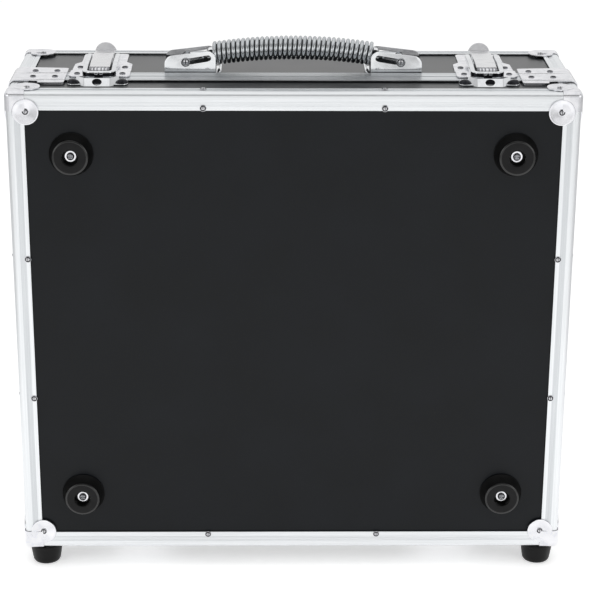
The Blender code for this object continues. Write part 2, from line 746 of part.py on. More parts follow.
def add_feet(build):
    foot_x = HALF_WIDTH - BASE_FOOT_INSET
    stand_x = HALF_WIDTH - CAP_LOBE_INSET
    rows = {"top": CASE_HEIGHT - BASE_FOOT_INSET, "bottom": BASE_FOOT_INSET}
    for side, sign in (("left", -1), ("right", 1)):
        for level, z in rows.items():
            foot, screw = base_foot(sign * foot_x, z), foot_screw(sign * foot_x, z)
            build.part(f"base_foot_{level}_{side}", foot, "rubber", "tray")
            build.part(f"base_foot_screw_{level}_{side}", screw, "zinc_steel", "tray")
        front = stand_foot(sign * stand_x, CAP_LOBE_INSET)
        rear = stand_foot(sign * stand_x, CASE_DEPTH - CAP_LOBE_INSET)
        build.part(f"stand_foot_front_{side}", front, "rubber", "tray")
        build.part(f"stand_foot_rear_{side}", rear, "rubber", "lid")


def hinge_tray_leaf():
    """A leaf on the tray's wall, stepped down to its two outer knuckles."""
    axis = HINGE_AXIS
    half = HINGE_WIDTH / 2
    middle = HINGE_KNUCKLE_WIDTH / 2 + KNUCKLE_CLEARANCE
    seat = BOARD_INSET - FIT_GAP
    root = axis.z + HINGE_KNUCKLE_RADIUS
    bend_end = axis.y - HINGE_KNUCKLE_RADIUS
    bend_start = bend_end - HINGE_SETTING
    start = axis.y - HINGE_LEAF_LENGTH
    thick = HINGE_LEAF_THICKNESS
    side = [
        (start, seat),
        (bend_start, seat),
        (bend_end, root),
        (axis.y, root),
        (axis.y, root - thick),
        (bend_end - thick / 2, root - thick),
        (bend_start - thick / 2, seat - thick),
        (start, seat - thick),
    ]
    leaf = prism(side, "x", -half, half)
    knuckle = rod((-half, axis.y, axis.z), (half, axis.y, axis.z), HINGE_KNUCKLE_RADIUS)
    notch = block(
        (-middle, bend_end - KNUCKLE_CLEARANCE, axis.z - OVERRUN),
        (middle, axis.y + OVERRUN, axis.z + OVERRUN),
    )
    return cut(joined(leaf, knuckle), notch, hinge_bore())


def hinge_lid_leaf():
    """A leaf under the closure profile, with the middle knuckle."""
    axis = HINGE_AXIS
    half = HINGE_WIDTH / 2
    middle = HINGE_KNUCKLE_WIDTH / 2
    root = axis.z + HINGE_KNUCKLE_RADIUS
    clear = axis.y + HINGE_KNUCKLE_RADIUS + KNUCKLE_CLEARANCE
    low = root - HINGE_LEAF_THICKNESS
    leaf = block((-half, clear, low), (half, axis.y + HINGE_LEAF_LENGTH, root))
    neck = block((-middle, axis.y, low), (middle, clear + HINGE_LEAF_THICKNESS, root))
    knuckle = rod((-middle, axis.y, axis.z), (middle, axis.y, axis.z), HINGE_KNUCKLE_RADIUS)
    return cut(joined(leaf, neck, knuckle), hinge_bore())


def hinge_bore():
    reach = HINGE_WIDTH / 2 + OVERRUN
    radius = HINGE_PIN_RADIUS + PIN_CLEARANCE
    return rod((-reach, *HINGE_AXIS.yz), (reach, *HINGE_AXIS.yz), radius)


def add_hinges(build):
    reach = HINGE_WIDTH / 2 + HINGE_PIN_OVERHANG
    pin = rod((-reach, *HINGE_AXIS.yz), (reach, *HINGE_AXIS.yz), HINGE_PIN_RADIUS)
    pieces = {
        "hinge_leaf_tray": (hinge_tray_leaf(), "tray"),
        "hinge_leaf_lid": (hinge_lid_leaf(), "lid"),
        "hinge_pin": (pin, "tray"),
    }
    for side, sign in (("left", -1), ("right", 1)):
        for name, (mesh, body) in pieces.items():
            build.part(f"{name}_{side}", shifted(mesh, sign * HINGE_X), "zinc_steel", body)


def add_linings(build):
    """A thin felt pad in the tray and a foam sheet in the lid."""
    inset = INNER_INSET + LINING_MARGIN
    tray_face = INNER_INSET + FIT_GAP
    lid_face = CASE_DEPTH - INNER_INSET - FIT_GAP
    felt = inset_block(inset, tray_face, tray_face + TRAY_LINING_THICKNESS, BACK_EDGES, LINING_EDGE)
    foam = inset_block(inset, lid_face - LID_FOAM_THICKNESS, lid_face, FRONT_EDGES, LINING_EDGE)
    build.part("tray_lining", felt, "lining_felt", "tray")
    build.part("lid_foam", foam, "foam", "lid")


def latch_plate():
    """The plate under a latch, stepped down behind the closure profile, with the lever's knuckle."""
    front = TRAY_DEPTH + LATCH_SETBACK
    shoulder = front + LATCH_SHOULDER_LENGTH
    neck = front + LATCH_NECK_LENGTH
    back = CASE_DEPTH - TRIM_FLANGE - LATCH_TAIL_GAP
    radius = LATCH_CORNER_RADIUS
    half = [
        (LATCH_WIDTH / 2, front, radius),
        (LATCH_SHOULDER_WIDTH / 2, shoulder, radius),
        (LATCH_TAIL_WIDTH / 2, neck, radius),
        (LATCH_TAIL_WIDTH / 2, back, radius),
    ]
    outline = rounded_outline(mirrored_outline(half))
    upper = LATCH_PLATE_TOP
    lower = TOP_BOARD + FIT_GAP + LATCH_PLATE_THICKNESS
    step = CLOSURE_BACK + FIT_GAP + LATCH_PLATE_THICKNESS
    run = LATCH_STEP_RUN
    side = [
        (front - OVERRUN, upper - LATCH_PLATE_THICKNESS),
        (step - LATCH_PLATE_THICKNESS, upper - LATCH_PLATE_THICKNESS),
        (step - LATCH_PLATE_THICKNESS + run, lower - LATCH_PLATE_THICKNESS),
        (back + OVERRUN, lower - LATCH_PLATE_THICKNESS),
        (back + OVERRUN, lower),
        (step + run, lower),
        (step, upper),
        (front - OVERRUN, upper),
    ]
    reach = LATCH_WIDTH / 2 + OVERRUN
    plate = crossed(
        prism(outline, "z", lower - OVERRUN, upper + OVERRUN), prism(side, "x", -reach, reach)
    )
    half_roll = LEVER_WIDTH / 2 - LEVER_KNUCKLE_WIDTH - FIT_GAP
    axis = LEVER_AXIS
    roll = rod((-half_roll, *axis.yz), (half_roll, *axis.yz), LEVER_KNUCKLE_RADIUS)
    web = block(
        (-half_roll, axis.y - LEVER_WEB / 2, upper - LATCH_PLATE_THICKNESS / 2),
        (half_roll, axis.y + LEVER_WEB / 2, axis.z),
    )
    bore_radius = LEVER_PIN_RADIUS + PIN_CLEARANCE
    bore = rod((-LATCH_WIDTH / 2, *axis.yz), (LATCH_WIDTH / 2, *axis.yz), bore_radius)
    return cut(joined(plate, web, roll), bore)


def latch_lever():
    """The lever: a bent plate with side flanges and knuckles, stepped down to an upright thumb tab."""
    axis = LEVER_AXIS
    half = LEVER_WIDTH / 2
    top = axis.z + LEVER_KNUCKLE_RADIUS
    flat = top + LEVER_RISE
    back = axis.y + LEVER_LENGTH
    bend = axis.y + LEVER_BEND
    thick = LEVER_THICKNESS
    step = axis.y + LEVER_STEP
    shelf = flat - LEVER_STEP_DROP
    side = [
        (axis.y, top),
        (bend, flat),
        (step, flat),
        (step + LEVER_STEP_DROP, shelf),
        (back, shelf),
        (back, shelf - thick),
        (step + LEVER_STEP_DROP - thick / 2, shelf - thick),
        (step - thick / 2, flat - thick),
        (bend, flat - thick),
        (axis.y, top - thick),
    ]
    inner = half - LEVER_KNUCKLE_WIDTH
    notch = block(
        (-inner, axis.y - OVERRUN, axis.z - OVERRUN),
        (inner, axis.y + LEVER_KNUCKLE_RADIUS + KNUCKLE_CLEARANCE, axis.z + OVERRUN),
    )
    plate = cut(prism(side, "x", FACE_STEP - half, half - FACE_STEP), notch)
    flange_start = axis.y + LEVER_FLANGE_START
    pieces = [stepped_bar(axis, (1, 0, 0), [(LEVER_PIN_RADIUS, inner), (LEVER_KNUCKLE_RADIUS, half)])]
    for sign in (-1, 1):
        low, high = sorted((sign * half, sign * (half - LEVER_FLANGE_THICKNESS)))
        pieces.append(
            block(
                (low, flange_start, flat - LEVER_FLANGE_HEIGHT),
                (high, flange_start + LEVER_FLANGE_LENGTH, flat - thick / 2),
            )
        )
        stub_root = sign * (half - LEVER_FLANGE_THICKNESS / 2)
        stub_end = sign * (half + HOOK_LEVER_GAP + HOOK_ARM_WIDTH - FIT_GAP)
        pieces.append(rod((stub_root, *HOOK_AXIS.yz), (stub_end, *HOOK_AXIS.yz), HOOK_PIN_RADIUS))
    root = shelf - thick / 2
    middle = shelf - THUMB_DROP
    start = math.asin((root - middle) / THUMB_RADIUS)
    steps = CAP_SIDES // 2
    angles = [start + (math.pi - 2 * start) * i / steps for i in range(steps + 1)]
    tab = [(THUMB_RADIUS * math.cos(angle), middle + THUMB_RADIUS * math.sin(angle)) for angle in angles]
    pieces.append(prism(tab, "y", back - thick - FACE_STEP, back - FACE_STEP))
    return joined(plate, *pieces)


def latch_hook():
    """The hook: two arms beside the lever, a bar round its front, and a tongue over the keeper."""
    inner = LEVER_WIDTH / 2 + HOOK_LEVER_GAP
    outer = inner + HOOK_ARM_WIDTH
    tongue = HOOK_TONGUE_WIDTH / 2
    bar_back = LEVER_AXIS.y - LEVER_KNUCKLE_RADIUS - HOOK_FRONT_GAP
    bar_front = bar_back - HOOK_BAR_DEPTH
    tail = HOOK_AXIS.y + HOOK_TAIL
    tongue_front = TRAY_DEPTH - HOOK_TONGUE_SETBACK
    half = [
        (tongue, tongue_front, 0),
        (tongue, bar_front, 0),
        (outer, bar_front, HOOK_BEND_RADIUS),
        (outer, tail, HOOK_ARM_WIDTH / 2),
        (inner, tail, 0),
        (inner, bar_back, HOOK_INNER_RADIUS),
    ]
    # The half outline is listed from the tongue to the inside of the bend
    outline = rounded_outline(half + [(-u, v, r) for u, v, r in reversed(half)])
    arm_low = HOOK_AXIS.z - HOOK_ARM_HEIGHT / 2
    arm_high = arm_low + HOOK_ARM_HEIGHT
    bar_low = LATCH_PLATE_TOP + LEVER_KNUCKLE_RADIUS / 2
    bar_high = LATCH_PLATE_TOP + HOOK_BAR_RISE
    lip_back = TRAY_DEPTH + LATCH_SETBACK - FIT_GAP
    tongue_low = LATCH_PLATE_TOP - HOOK_TONGUE_DROP
    tongue_high = tongue_low + HOOK_TONGUE_THICKNESS
    slope_start = LEVER_AXIS.y
    slope_end = LEVER_AXIS.y + LEVER_BEND
    side = [
        (tongue_front, tongue_low),
        (lip_back, tongue_low),
        (lip_back, bar_low),
        (slope_start, bar_low),
        (slope_end, arm_low),
        (tail, arm_low),
        (tail, arm_high),
        (slope_end, arm_high),
        (slope_start, bar_high),
        (bar_front, bar_high),
        (bar_front, tongue_high),
        (tongue_front, tongue_high),
    ]
    reach = outer + OVERRUN
    body = crossed(
        prism(outline, "z", tongue_low - OVERRUN, arm_high + OVERRUN), prism(side, "x", -reach, reach)
    )
    bore = rod((-reach, *HOOK_AXIS.yz), (reach, *HOOK_AXIS.yz), HOOK_PIN_RADIUS + PIN_CLEARANCE)
    return cut(body, bore)


def latch_keeper():
    """The catch on the tray: a slant-cornered skirt with a hole, two flat ears and a ridge."""
    back = TRAY_EDGE - KEEPER_SEAM_MARGIN
    front = back - KEEPER_DEPTH
    floor = TOP_BOARD + FIT_GAP
    base = floor + KEEPER_THICKNESS
    thick = KEEPER_THICKNESS
    half = [
        (KEEPER_FRONT_WIDTH / 2, front),
        (KEEPER_WIDTH / 2, front + KEEPER_SLANT),
        (KEEPER_WIDTH / 2, back),
    ]
    inner_half = [
        (KEEPER_FRONT_WIDTH / 2 - thick / 2, front + thick),
        (KEEPER_WIDTH / 2 - thick, front + KEEPER_SLANT + thick / 2),
        (KEEPER_WIDTH / 2 - thick, back + OVERRUN),
    ]
    skirt = cut(
        prism(mirrored_outline(half), "z", floor, floor + KEEPER_HEIGHT),
        prism(mirrored_outline(inner_half), "z", base, floor + KEEPER_HEIGHT + OVERRUN),
    )
    ears = rounded_outline(
        mirrored_outline(
            [
                (KEEPER_EAR_WIDTH / 2, back - KEEPER_EAR_DEPTH, KEEPER_EAR_RADIUS),
                (KEEPER_EAR_WIDTH / 2, back, KEEPER_EAR_RADIUS),
            ]
        )
    )
    # The ridge stays under the hook's tongue, so the lid can be tried with the latches closed
    ridge_front = TRAY_DEPTH - HOOK_TONGUE_SETBACK + KEEPER_RIDGE_CLEARANCE
    ridge_back = ridge_front + KEEPER_RIDGE_THICKNESS
    ridge = block(
        (-KEEPER_FRONT_WIDTH / 2, ridge_front, floor + thick / 2),
        (KEEPER_FRONT_WIDTH / 2, ridge_back, base + KEEPER_RIDGE_HEIGHT),
    )
    hole_z = floor + KEEPER_HEIGHT / 2
    hole = rod((0, front - OVERRUN, hole_z), (0, front + 2 * thick, hole_z), KEEPER_HOLE_RADIUS)
    hole_above_base = cut(hole, prism(mirrored_outline(half), "z", floor - OVERRUN, base))
    return cut(joined(skirt, prism(ears, "z", floor, base), ridge), hole_above_base)


def add_latches(build):
    pieces = {
        "latch_plate": (latch_plate(), "zinc_steel", "lid"),
        "latch_keeper": (latch_keeper(), "zinc_steel", "tray"),
        "latch_lever": (latch_lever(), "chrome", "lever_{}"),
        "latch_hook": (latch_hook(), "chrome", "hook_{}"),
    }
    for side, sign in (("left", -1), ("right", 1)):
        for name, (mesh, material, body) in pieces.items():
            placed = shifted(mesh, sign * LATCH_X)
            build.part(f"{name}_{side}", placed, material, body.format(side))


def handle_bracket():
    """The right bracket: a channel with flared feet, sloping cheeks and keyhole slots."""
    bottom = TOP_BOARD + FIT_GAP
    base = bottom + BRACKET_BASE_THICKNESS
    half = BRACKET_HALF_WIDTH
    foot = half + BRACKET_FOOT
    inner = half - BRACKET_THICKNESS
    above = bottom + BRACKET_INNER_HEIGHT + OVERRUN
    flare = [
        (inner, above),
        (inner, base),
        (-inner, base),
        (-inner, above),
        (-half, above),
        (-half, bottom + BRACKET_FOOT_HEIGHT),
        (-half - BRACKET_FOOT / 3, bottom + BRACKET_FOOT_HEIGHT / 2),
        (-foot, bottom + BRACKET_FOOT_HEIGHT / 4),
        (-foot, bottom),
        (foot, bottom),
        (foot, bottom + BRACKET_FOOT_HEIGHT / 4),
        (half + BRACKET_FOOT / 3, bottom + BRACKET_FOOT_HEIGHT / 2),
        (half, bottom + BRACKET_FOOT_HEIGHT),
        (half, above),
    ]
    section = [(HANDLE_DEPTH + across, z) for across, z in flare]
    cheek = BRACKET_INNER_X + BRACKET_CHEEK_SETBACK
    tab = BRACKET_TAB_THICKNESS
    side = rounded_outline(
        [
            (BRACKET_INNER_X, bottom, BRACKET_TAB_ROOT),
            (BRACKET_OUTER_X, bottom, 0),
            (BRACKET_OUTER_X, bottom + BRACKET_OUTER_HEIGHT, BRACKET_OUTER_ROUND),
            (cheek, bottom + BRACKET_INNER_HEIGHT, BRACKET_INNER_ROUND),
            (cheek, bottom + BRACKET_TAB_ROOT, 0),
            (BRACKET_INNER_X + tab, bottom + BRACKET_TAB_ROOT, 0),
            (BRACKET_INNER_X + tab, bottom + BRACKET_TAB_HEIGHT, 0),
            (BRACKET_INNER_X, bottom + BRACKET_TAB_HEIGHT, 0),
        ]
    )
    channel = crossed(
        prism(section, "x", BRACKET_INNER_X - OVERRUN, BRACKET_OUTER_X + OVERRUN),
        prism(side, "y", HANDLE_DEPTH - foot - OVERRUN, HANDLE_DEPTH + foot + OVERRUN),
    )
    front, back = HANDLE_DEPTH - foot - OVERRUN, HANDLE_DEPTH + foot + OVERRUN
    outer = STRAP_PIN - Vector((0, 0, SLOT_DROP))
    far = outer + Vector((-1, 0, SLOT_SLOPE)).normalized() * SLOT_LENGTH
    across = Vector((SLOT_SLOPE, 0, 1)).normalized() * SLOT_WIDTH / 2
    straight = [(point.x, point.z) for point in (outer - across, outer + across, far + across, far - across)]
    slot = joined(
        prism(straight, "y", front, back),
        rod((far.x, front, far.z), (far.x, back, far.z), SLOT_WIDTH / 2),
        rod((outer.x, front, outer.z), (outer.x, back, outer.z), SLOT_ROUND_RADIUS),
    )
    return cut(channel, slot)


def grip_point(along, across=0.0, angle=0.0):
    """A point on the bent grip: a share of its half length, a distance off its line, and an angle."""
    bend = along * math.asin(GRIP_HALF_LENGTH / GRIP_BEND_RADIUS)
    outward = Vector((math.sin(bend), 0, math.cos(bend)))
    line = GRIP_CENTRE + (outward - Vector((0, 0, 1))) * GRIP_BEND_RADIUS
    return line + across * (math.cos(angle) * outward + math.sin(angle) * Vector((0, 1, 0)))


def grip_spring():
    """The points of the wound spring, its last stretch at each end run straight."""
    count = SPRING_TURNS * SPRING_TURN_POINTS
    points = []
    for i in range(count + 1):
        share = i / count
        angle = math.pi + math.tau * SPRING_TURNS * share
        points.append(grip_point(2 * share - 1, COIL_RADIUS, angle))
    first = points[0] + (points[0] - points[1]).normalized() * 2 * WIRE_RADIUS
    last = points[-1] + (points[-1] - points[-2]).normalized() * 2 * WIRE_RADIUS
    return [first, *points, last]


def least_gap(points):
    """The least distance between the surfaces of two turns of the spring."""
    apart = SPRING_TURN_POINTS // 2
    return min(
        (points[i] - points[j]).length - 2 * WIRE_RADIUS
        for i in range(len(points))
        for j in range(i + apart, min(i + 3 * apart, len(points)))
    )


def strap_end():
    """The right strap end: a barrel in the spring's mouth, a plate, and a cross pin with heads."""
    run = STRAP_PIN - STRAP_AXIS
    length = run.length
    depth = HANDLE_DEPTH
    thick = STRAP_THICKNESS / 2
    barrel_half, half = STRAP_NECK_WIDTH / 2, STRAP_WIDTH / 2

    plan = [
        (0, depth - barrel_half),
        (STRAP_NECK_LENGTH, depth - barrel_half),
        (STRAP_NECK_LENGTH + half - barrel_half, depth - half),
        (length, depth - half),
        (length, depth + half),
        (STRAP_NECK_LENGTH + half - barrel_half, depth + half),
        (STRAP_NECK_LENGTH, depth + barrel_half),
        (0, depth + barrel_half),
    ]
    strap = prism(plan, "z", -thick, thick)
    slope = math.atan2(run.z, run.x)
    strap.transform(
        Matrix.Translation((STRAP_AXIS.x, 0, STRAP_AXIS.z)) @ Matrix.Rotation(-slope, 4, "Y")
    )

    shank = BRACKET_HALF_WIDTH + FIT_GAP
    cross_pin = [
        (STRAP_EYE_RADIUS, half + FACE_STEP),
        (STRAP_PIN_RADIUS, shank),
        (STRAP_HEAD_RADIUS, shank + STRAP_HEAD_THICKNESS),
    ]
    barrel = [(STRAP_BARREL_RADIUS, barrel_half + FACE_STEP)]
    return joined(
        strap,
        stepped_bar(STRAP_AXIS, (0, 1, 0), barrel),
        stepped_bar(STRAP_PIN, (0, 1, 0), cross_pin),
    )


def add_handle(build):
    bracket = handle_bracket()
    build.part("handle_bracket_right", bracket, "chrome", "lid")
    build.part("handle_bracket_left", mirrored(bracket), "chrome", "lid")
    core_reach = STRAP_AXIS.x - STRAP_BARREL_RADIUS - FIT_GAP
    core_share = core_reach / GRIP_HALF_LENGTH
    core = [
        grip_point(core_share * (2 * i / (CORE_POINTS - 1) - 1)) for i in range(CORE_POINTS)
    ]
    build.tube("handle_core", core, CORE_RADIUS, 2, "core_plastic", "grip")
    spring = grip_spring()
    build.tube("handle_spring", spring, WIRE_RADIUS, 1, "spring_wire", "grip")
    print(f"least gap between turns of the spring: {1000 * least_gap(spring):.2f} mm")
    end = strap_end()
    build.part("handle_strap_end_right", end, "chrome", "strap_right")
    build.part("handle_strap_end_left", mirrored(end), "chrome", "strap_left")


def main():
    build = Builder()
    add_materials(build)
    add_bodies(build)
    add_boards(build)
    add_edges(build)
    add_feet(build)
    add_hinges(build)
    add_linings(build)
    add_latches(build)
    add_handle(build)


main()
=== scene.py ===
"""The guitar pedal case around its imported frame: aluminium edges, steel hardware, and a light, plain room.

Pieces are modelled in the case's own frame: x from the middle, y as depth from the face of the tray's
aluminium, z from the aluminium of the underside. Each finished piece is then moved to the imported
model's place. Lengths are in metres.
"""

import json
import math
from functools import partial

import bmesh
import bpy
from mathutils import Matrix, Vector

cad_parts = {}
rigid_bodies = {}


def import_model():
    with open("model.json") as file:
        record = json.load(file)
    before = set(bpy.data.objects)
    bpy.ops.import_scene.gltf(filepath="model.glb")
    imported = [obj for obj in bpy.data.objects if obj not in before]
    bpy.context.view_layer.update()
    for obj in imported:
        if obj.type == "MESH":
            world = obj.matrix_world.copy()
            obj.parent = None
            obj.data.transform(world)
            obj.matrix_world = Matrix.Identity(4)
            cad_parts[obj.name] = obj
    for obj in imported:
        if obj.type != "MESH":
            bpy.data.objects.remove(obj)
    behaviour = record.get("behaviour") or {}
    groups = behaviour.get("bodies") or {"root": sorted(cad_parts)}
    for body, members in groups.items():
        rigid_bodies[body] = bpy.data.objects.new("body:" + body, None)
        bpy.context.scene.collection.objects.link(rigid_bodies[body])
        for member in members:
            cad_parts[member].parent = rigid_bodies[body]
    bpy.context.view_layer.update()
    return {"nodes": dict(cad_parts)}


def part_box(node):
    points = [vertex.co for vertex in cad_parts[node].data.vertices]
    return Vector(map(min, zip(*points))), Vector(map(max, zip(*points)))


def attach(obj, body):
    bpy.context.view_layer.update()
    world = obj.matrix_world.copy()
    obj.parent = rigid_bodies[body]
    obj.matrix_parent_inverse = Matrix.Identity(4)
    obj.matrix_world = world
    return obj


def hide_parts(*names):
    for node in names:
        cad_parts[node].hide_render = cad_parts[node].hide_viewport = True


for left_over in list(bpy.data.objects):
    bpy.data.objects.remove(left_over)
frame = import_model()

TRAY_TRIM_LOW, TRAY_TRIM_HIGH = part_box("tray_edge_trim")
LID_TRIM_LOW, LID_TRIM_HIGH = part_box("lid_edge_trim")
CASE_CORNER = Vector((0, TRAY_TRIM_LOW.y, TRAY_TRIM_LOW.z))

HALF_WIDTH = TRAY_TRIM_HIGH.x
HEIGHT = TRAY_TRIM_HIGH.z - TRAY_TRIM_LOW.z
DEPTH = LID_TRIM_HIGH.y - TRAY_TRIM_LOW.y
TRAY_EDGE = TRAY_TRIM_HIGH.y - TRAY_TRIM_LOW.y
LID_TRIM_START = LID_TRIM_LOW.y - TRAY_TRIM_LOW.y

SIDES = (("left", -1), ("right", 1))
SHARP = math.radians(32)
NEAR = 0.0001


# Modelling steps


def leave():
    """Back to object mode with nothing selected."""
    if bpy.context.object and bpy.context.object.mode != "OBJECT":
        bpy.ops.object.mode_set(mode="OBJECT")
    bpy.ops.object.select_all(action="DESELECT")


def take(piece):
    """Makes a piece the only selected and active one."""
    leave()
    piece.select_set(True)
    bpy.context.view_layer.objects.active = piece


def edit():
    """Opens the active object for editing."""
    bpy.ops.object.mode_set(mode="EDIT")


def done():
    """Ends the editing and gives the active object."""
    bpy.ops.object.mode_set(mode="OBJECT")
    return bpy.context.object


def freeze():
    """Puts the active object's place, turn and scale into its mesh."""
    bpy.ops.object.transform_apply(location=True, rotation=True, scale=True)


def block(low, high):
    """A cube primitive stretched between two corners, open for editing."""
    leave()
    low, high = Vector(low), Vector(high)
    bpy.ops.mesh.primitive_cube_add(size=1, location=(low + high) / 2)
    bpy.context.object.scale = high - low
    freeze()
    edit()


def pick(kind, test):
    """Selects the faces, edges or vertices that pass a test, and nothing else."""
    bpy.ops.mesh.select_mode(type=kind)
    bpy.ops.mesh.select_all(action="DESELECT")
    data = bpy.context.object.data
    mesh = bmesh.from_edit_mesh(data)
    for element in {"FACE": mesh.faces, "EDGE": mesh.edges, "VERT": mesh.verts}[kind]:
        if test(element):
            element.select_set(True)
    bmesh.update_edit_mesh(data)


def pick_faces(test):
    """Selects the faces whose middle and normal pass a test."""
    pick("FACE", lambda face: test(face.calc_center_median(), face.normal))


def clear_faces(test):
    """Deletes the faces whose middle and normal pass a test."""
    pick_faces(test)
    bpy.ops.mesh.delete(type="FACE")


def round_edges(test, radius, segments):
    """Bevels the edges whose two ends pass a test."""
    pick("EDGE", lambda edge: test(edge.verts[0].co, edge.verts[1].co))
    bpy.ops.mesh.bevel(offset=radius, segments=segments, affect="EDGES")


def move_points(test, step):
    """Moves the vertices whose place passes a test."""
    pick("VERT", lambda vert: test(vert.co))
    bpy.ops.transform.translate(value=step)


def pull(step):
    """Extrudes what is selected."""
    bpy.ops.mesh.extrude_region_move(TRANSFORM_OT_translate={"value": step})


def face_outward():
    """Turns all faces of the open mesh outwards."""
    bpy.ops.mesh.select_all(action="SELECT")
    bpy.ops.mesh.normals_make_consistent(inside=False)


def slice_at(point, normal, clear=False):
    """Cuts all of the open mesh by a plane, and clears what lies on the normal's side if asked."""
    bpy.ops.mesh.select_all(action="SELECT")
    bpy.ops.mesh.bisect(plane_co=point, plane_no=normal, clear_outer=clear, use_fill=clear)


def slice_depths(cuts):
    """Cuts all of the open mesh at several depths."""
    for cut in cuts:
        slice_at((0, cut, 0), (0, 1, 0))


def give(piece, material, test):
    """Adds a material to a piece for the faces whose middle and normal pass a test."""
    piece.data.materials.append(material)
    index = len(piece.data.materials) - 1
    for face in piece.data.polygons:
        if test(face.center, face.normal):
            face.material_index = index


def coat(piece, material, *others):
    """Gives a piece its material, and each further (material, test) pair the faces that pass."""
    piece.data.materials.append(material)
    for other, test in others:
        give(piece, other, test)
    return piece


def finish_with(kind, **settings):
    """Adds a modifier to the active object, applies it and gives the object."""
    piece = done()
    modifier = piece.modifiers.new(kind.lower(), kind)
    for name, value in settings.items():
        setattr(modifier, name, value)
    bpy.ops.object.modifier_apply(modifier=modifier.name)
    return piece


def soften(width, segments=2, angle=SHARP):
    """Rounds the sharp edges of the active object."""
    limits = {"limit_method": "ANGLE", "angle_limit": angle, "harden_normals": False}
    return finish_with("BEVEL", width=width, segments=segments, **limits)


def thicken(thickness):
    """Gives the active shell a thickness, inwards from its faces."""
    return finish_with("SOLIDIFY", thickness=thickness, offset=-1, use_even_offset=True)


def rounded_block(low, high, width, segments, material):
    """A block with rounded edges in one material."""
    block(low, high)
    return coat(soften(width, segments), material)


def lathe(profile, sides=32, foot=(0, 0, 0), direction=(0, 0, 1)):
    """A round piece drawn up ring by ring from (radius, height) pairs, set on a foot along a direction."""
    leave()
    radius, height = profile[0]
    bpy.ops.mesh.primitive_circle_add(
        vertices=sides, radius=radius, fill_type="NGON", location=(0, 0, height)
    )
    freeze()
    edit()
    bpy.ops.mesh.select_all(action="SELECT")
    for next_radius, next_height in profile[1:]:
        pull((0, 0, next_height - height))
        share = next_radius / radius
        bpy.ops.transform.resize(value=(share, share, 1), center_override=(0, 0, next_height))
        radius, height = next_radius, next_height
    face_outward()
    piece = done()
    piece.rotation_mode = "QUATERNION"
    piece.rotation_quaternion = Vector(direction).to_track_quat("Z", "Y")
    piece.location = foot
    freeze()
    return piece


def placed_copy(piece, matrix):
    """A copy with its own mesh, moved, turned or mirrored by a matrix."""
    take(piece)
    bpy.ops.object.duplicate()
    copy = bpy.context.object
    copy.matrix_world = matrix @ copy.matrix_world
    freeze()
    if matrix.determinant() < 0:
        edit()
        bpy.ops.mesh.select_all(action="SELECT")
        bpy.ops.mesh.flip_normals()
        done()
    return copy


def sided_copy(piece, sign=-1):
    """A copy on one side of the case's middle: mirrored for the left, as it is for the right."""
    return placed_copy(piece, Matrix.Diagonal((sign, 1, 1, 1)))


def join(pieces):
    """Several objects made one."""
    leave()
    for piece in pieces:
        piece.select_set(True)
    bpy.context.view_layer.objects.active = pieces[0]
    if len(pieces) > 1:
        bpy.ops.object.join()
    return pieces[0]


def drop(*pieces):
    """Throws objects away."""
    for piece in pieces:
        bpy.data.objects.remove(piece)


def cut_out(piece, *tools):
    """Cuts the tools' shapes out of a piece and throws the tools away."""
    take(piece)
    for tool in tools:
        finish_with("BOOLEAN", operation="DIFFERENCE", object=tool, solver="EXACT")
    drop(*tools)


def hand_over(piece, name, material, body, nodes=(), smooth=SHARP, in_case=True, flat=False):
    """Names a piece, shades it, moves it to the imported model's place and lets it ride."""
    take(piece)
    if in_case:
        piece.location = CASE_CORNER
        freeze()
    bpy.ops.object.shade_smooth_by_angle(angle=smooth)
    if flat:
        # Large faces keep their own normal, so only the rounded edges catch a curved light
        finish_with("WEIGHTED_NORMAL", keep_sharp=True, weight=80)
    piece.name = name
    piece.data.name = name
    if not piece.data.materials:
        piece.data.materials.append(material)
    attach(piece, body)
    if nodes:
        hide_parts(*nodes)
    return piece


def worked_copy(node, width, segments):
    """A merged copy of a CAD node with its edges rounded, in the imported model's place."""
    leave()
    source = frame["nodes"][node]
    piece = bpy.data.objects.new(f"{node}_copy", source.data.copy())
    bpy.context.scene.collection.objects.link(piece)
    piece.data.materials.clear()
    take(piece)
    edit()
    bpy.ops.mesh.select_all(action="SELECT")
    bpy.ops.mesh.customdata_custom_splitnormals_clear()
    bpy.ops.mesh.remove_doubles(threshold=0.000002)
    bpy.ops.mesh.dissolve_limited(angle_limit=math.radians(1))
    return soften(width, segments)


# Materials


def colour(code):
    """The linear colour of an sRGB hex code."""
    parts = [int(code[i : i + 2], 16) / 255 for i in (1, 3, 5)]
    linear = [part / 12.92 if part <= 0.04045 else ((part + 0.055) / 1.055) ** 2.4 for part in parts]
    return (*linear, 1)


def add_node(tree, kind, output=None, inputs=None, **settings):
    """Adds a node and gives one output or all. An input is set to a value or linked to what feeds it."""
    made = tree.nodes.new(f"ShaderNode{kind}")
    for name, value in settings.items():
        setattr(made, name, value)
    for name, value in (inputs or {}).items():
        if isinstance(value, bpy.types.NodeSocket):
            tree.links.new(value, made.inputs[name])
        else:
            made.inputs[name].default_value = value
    return made.outputs if output is None else made.outputs[output]


def new_material(name, **sockets):
    """A material with plain sockets of its shader set, what adds a node to it, and its own coordinates."""
    material = bpy.data.materials.new(name)
    material.use_nodes = True
    shader = material.node_tree.nodes["Principled BSDF"]
    for socket, value in sockets.items():
        shader.inputs[socket.replace("_", " ")].default_value = value
    node = partial(add_node, material.node_tree)
    return material, node, node("TexCoord", "Object")


def feed(material, **sources):
    """Links outputs to the shader's sockets and gives the material."""
    tree = material.node_tree
    for socket, source in sources.items():
        tree.links.new(source, tree.nodes["Principled BSDF"].inputs[socket.replace("_", " ")])
    return material


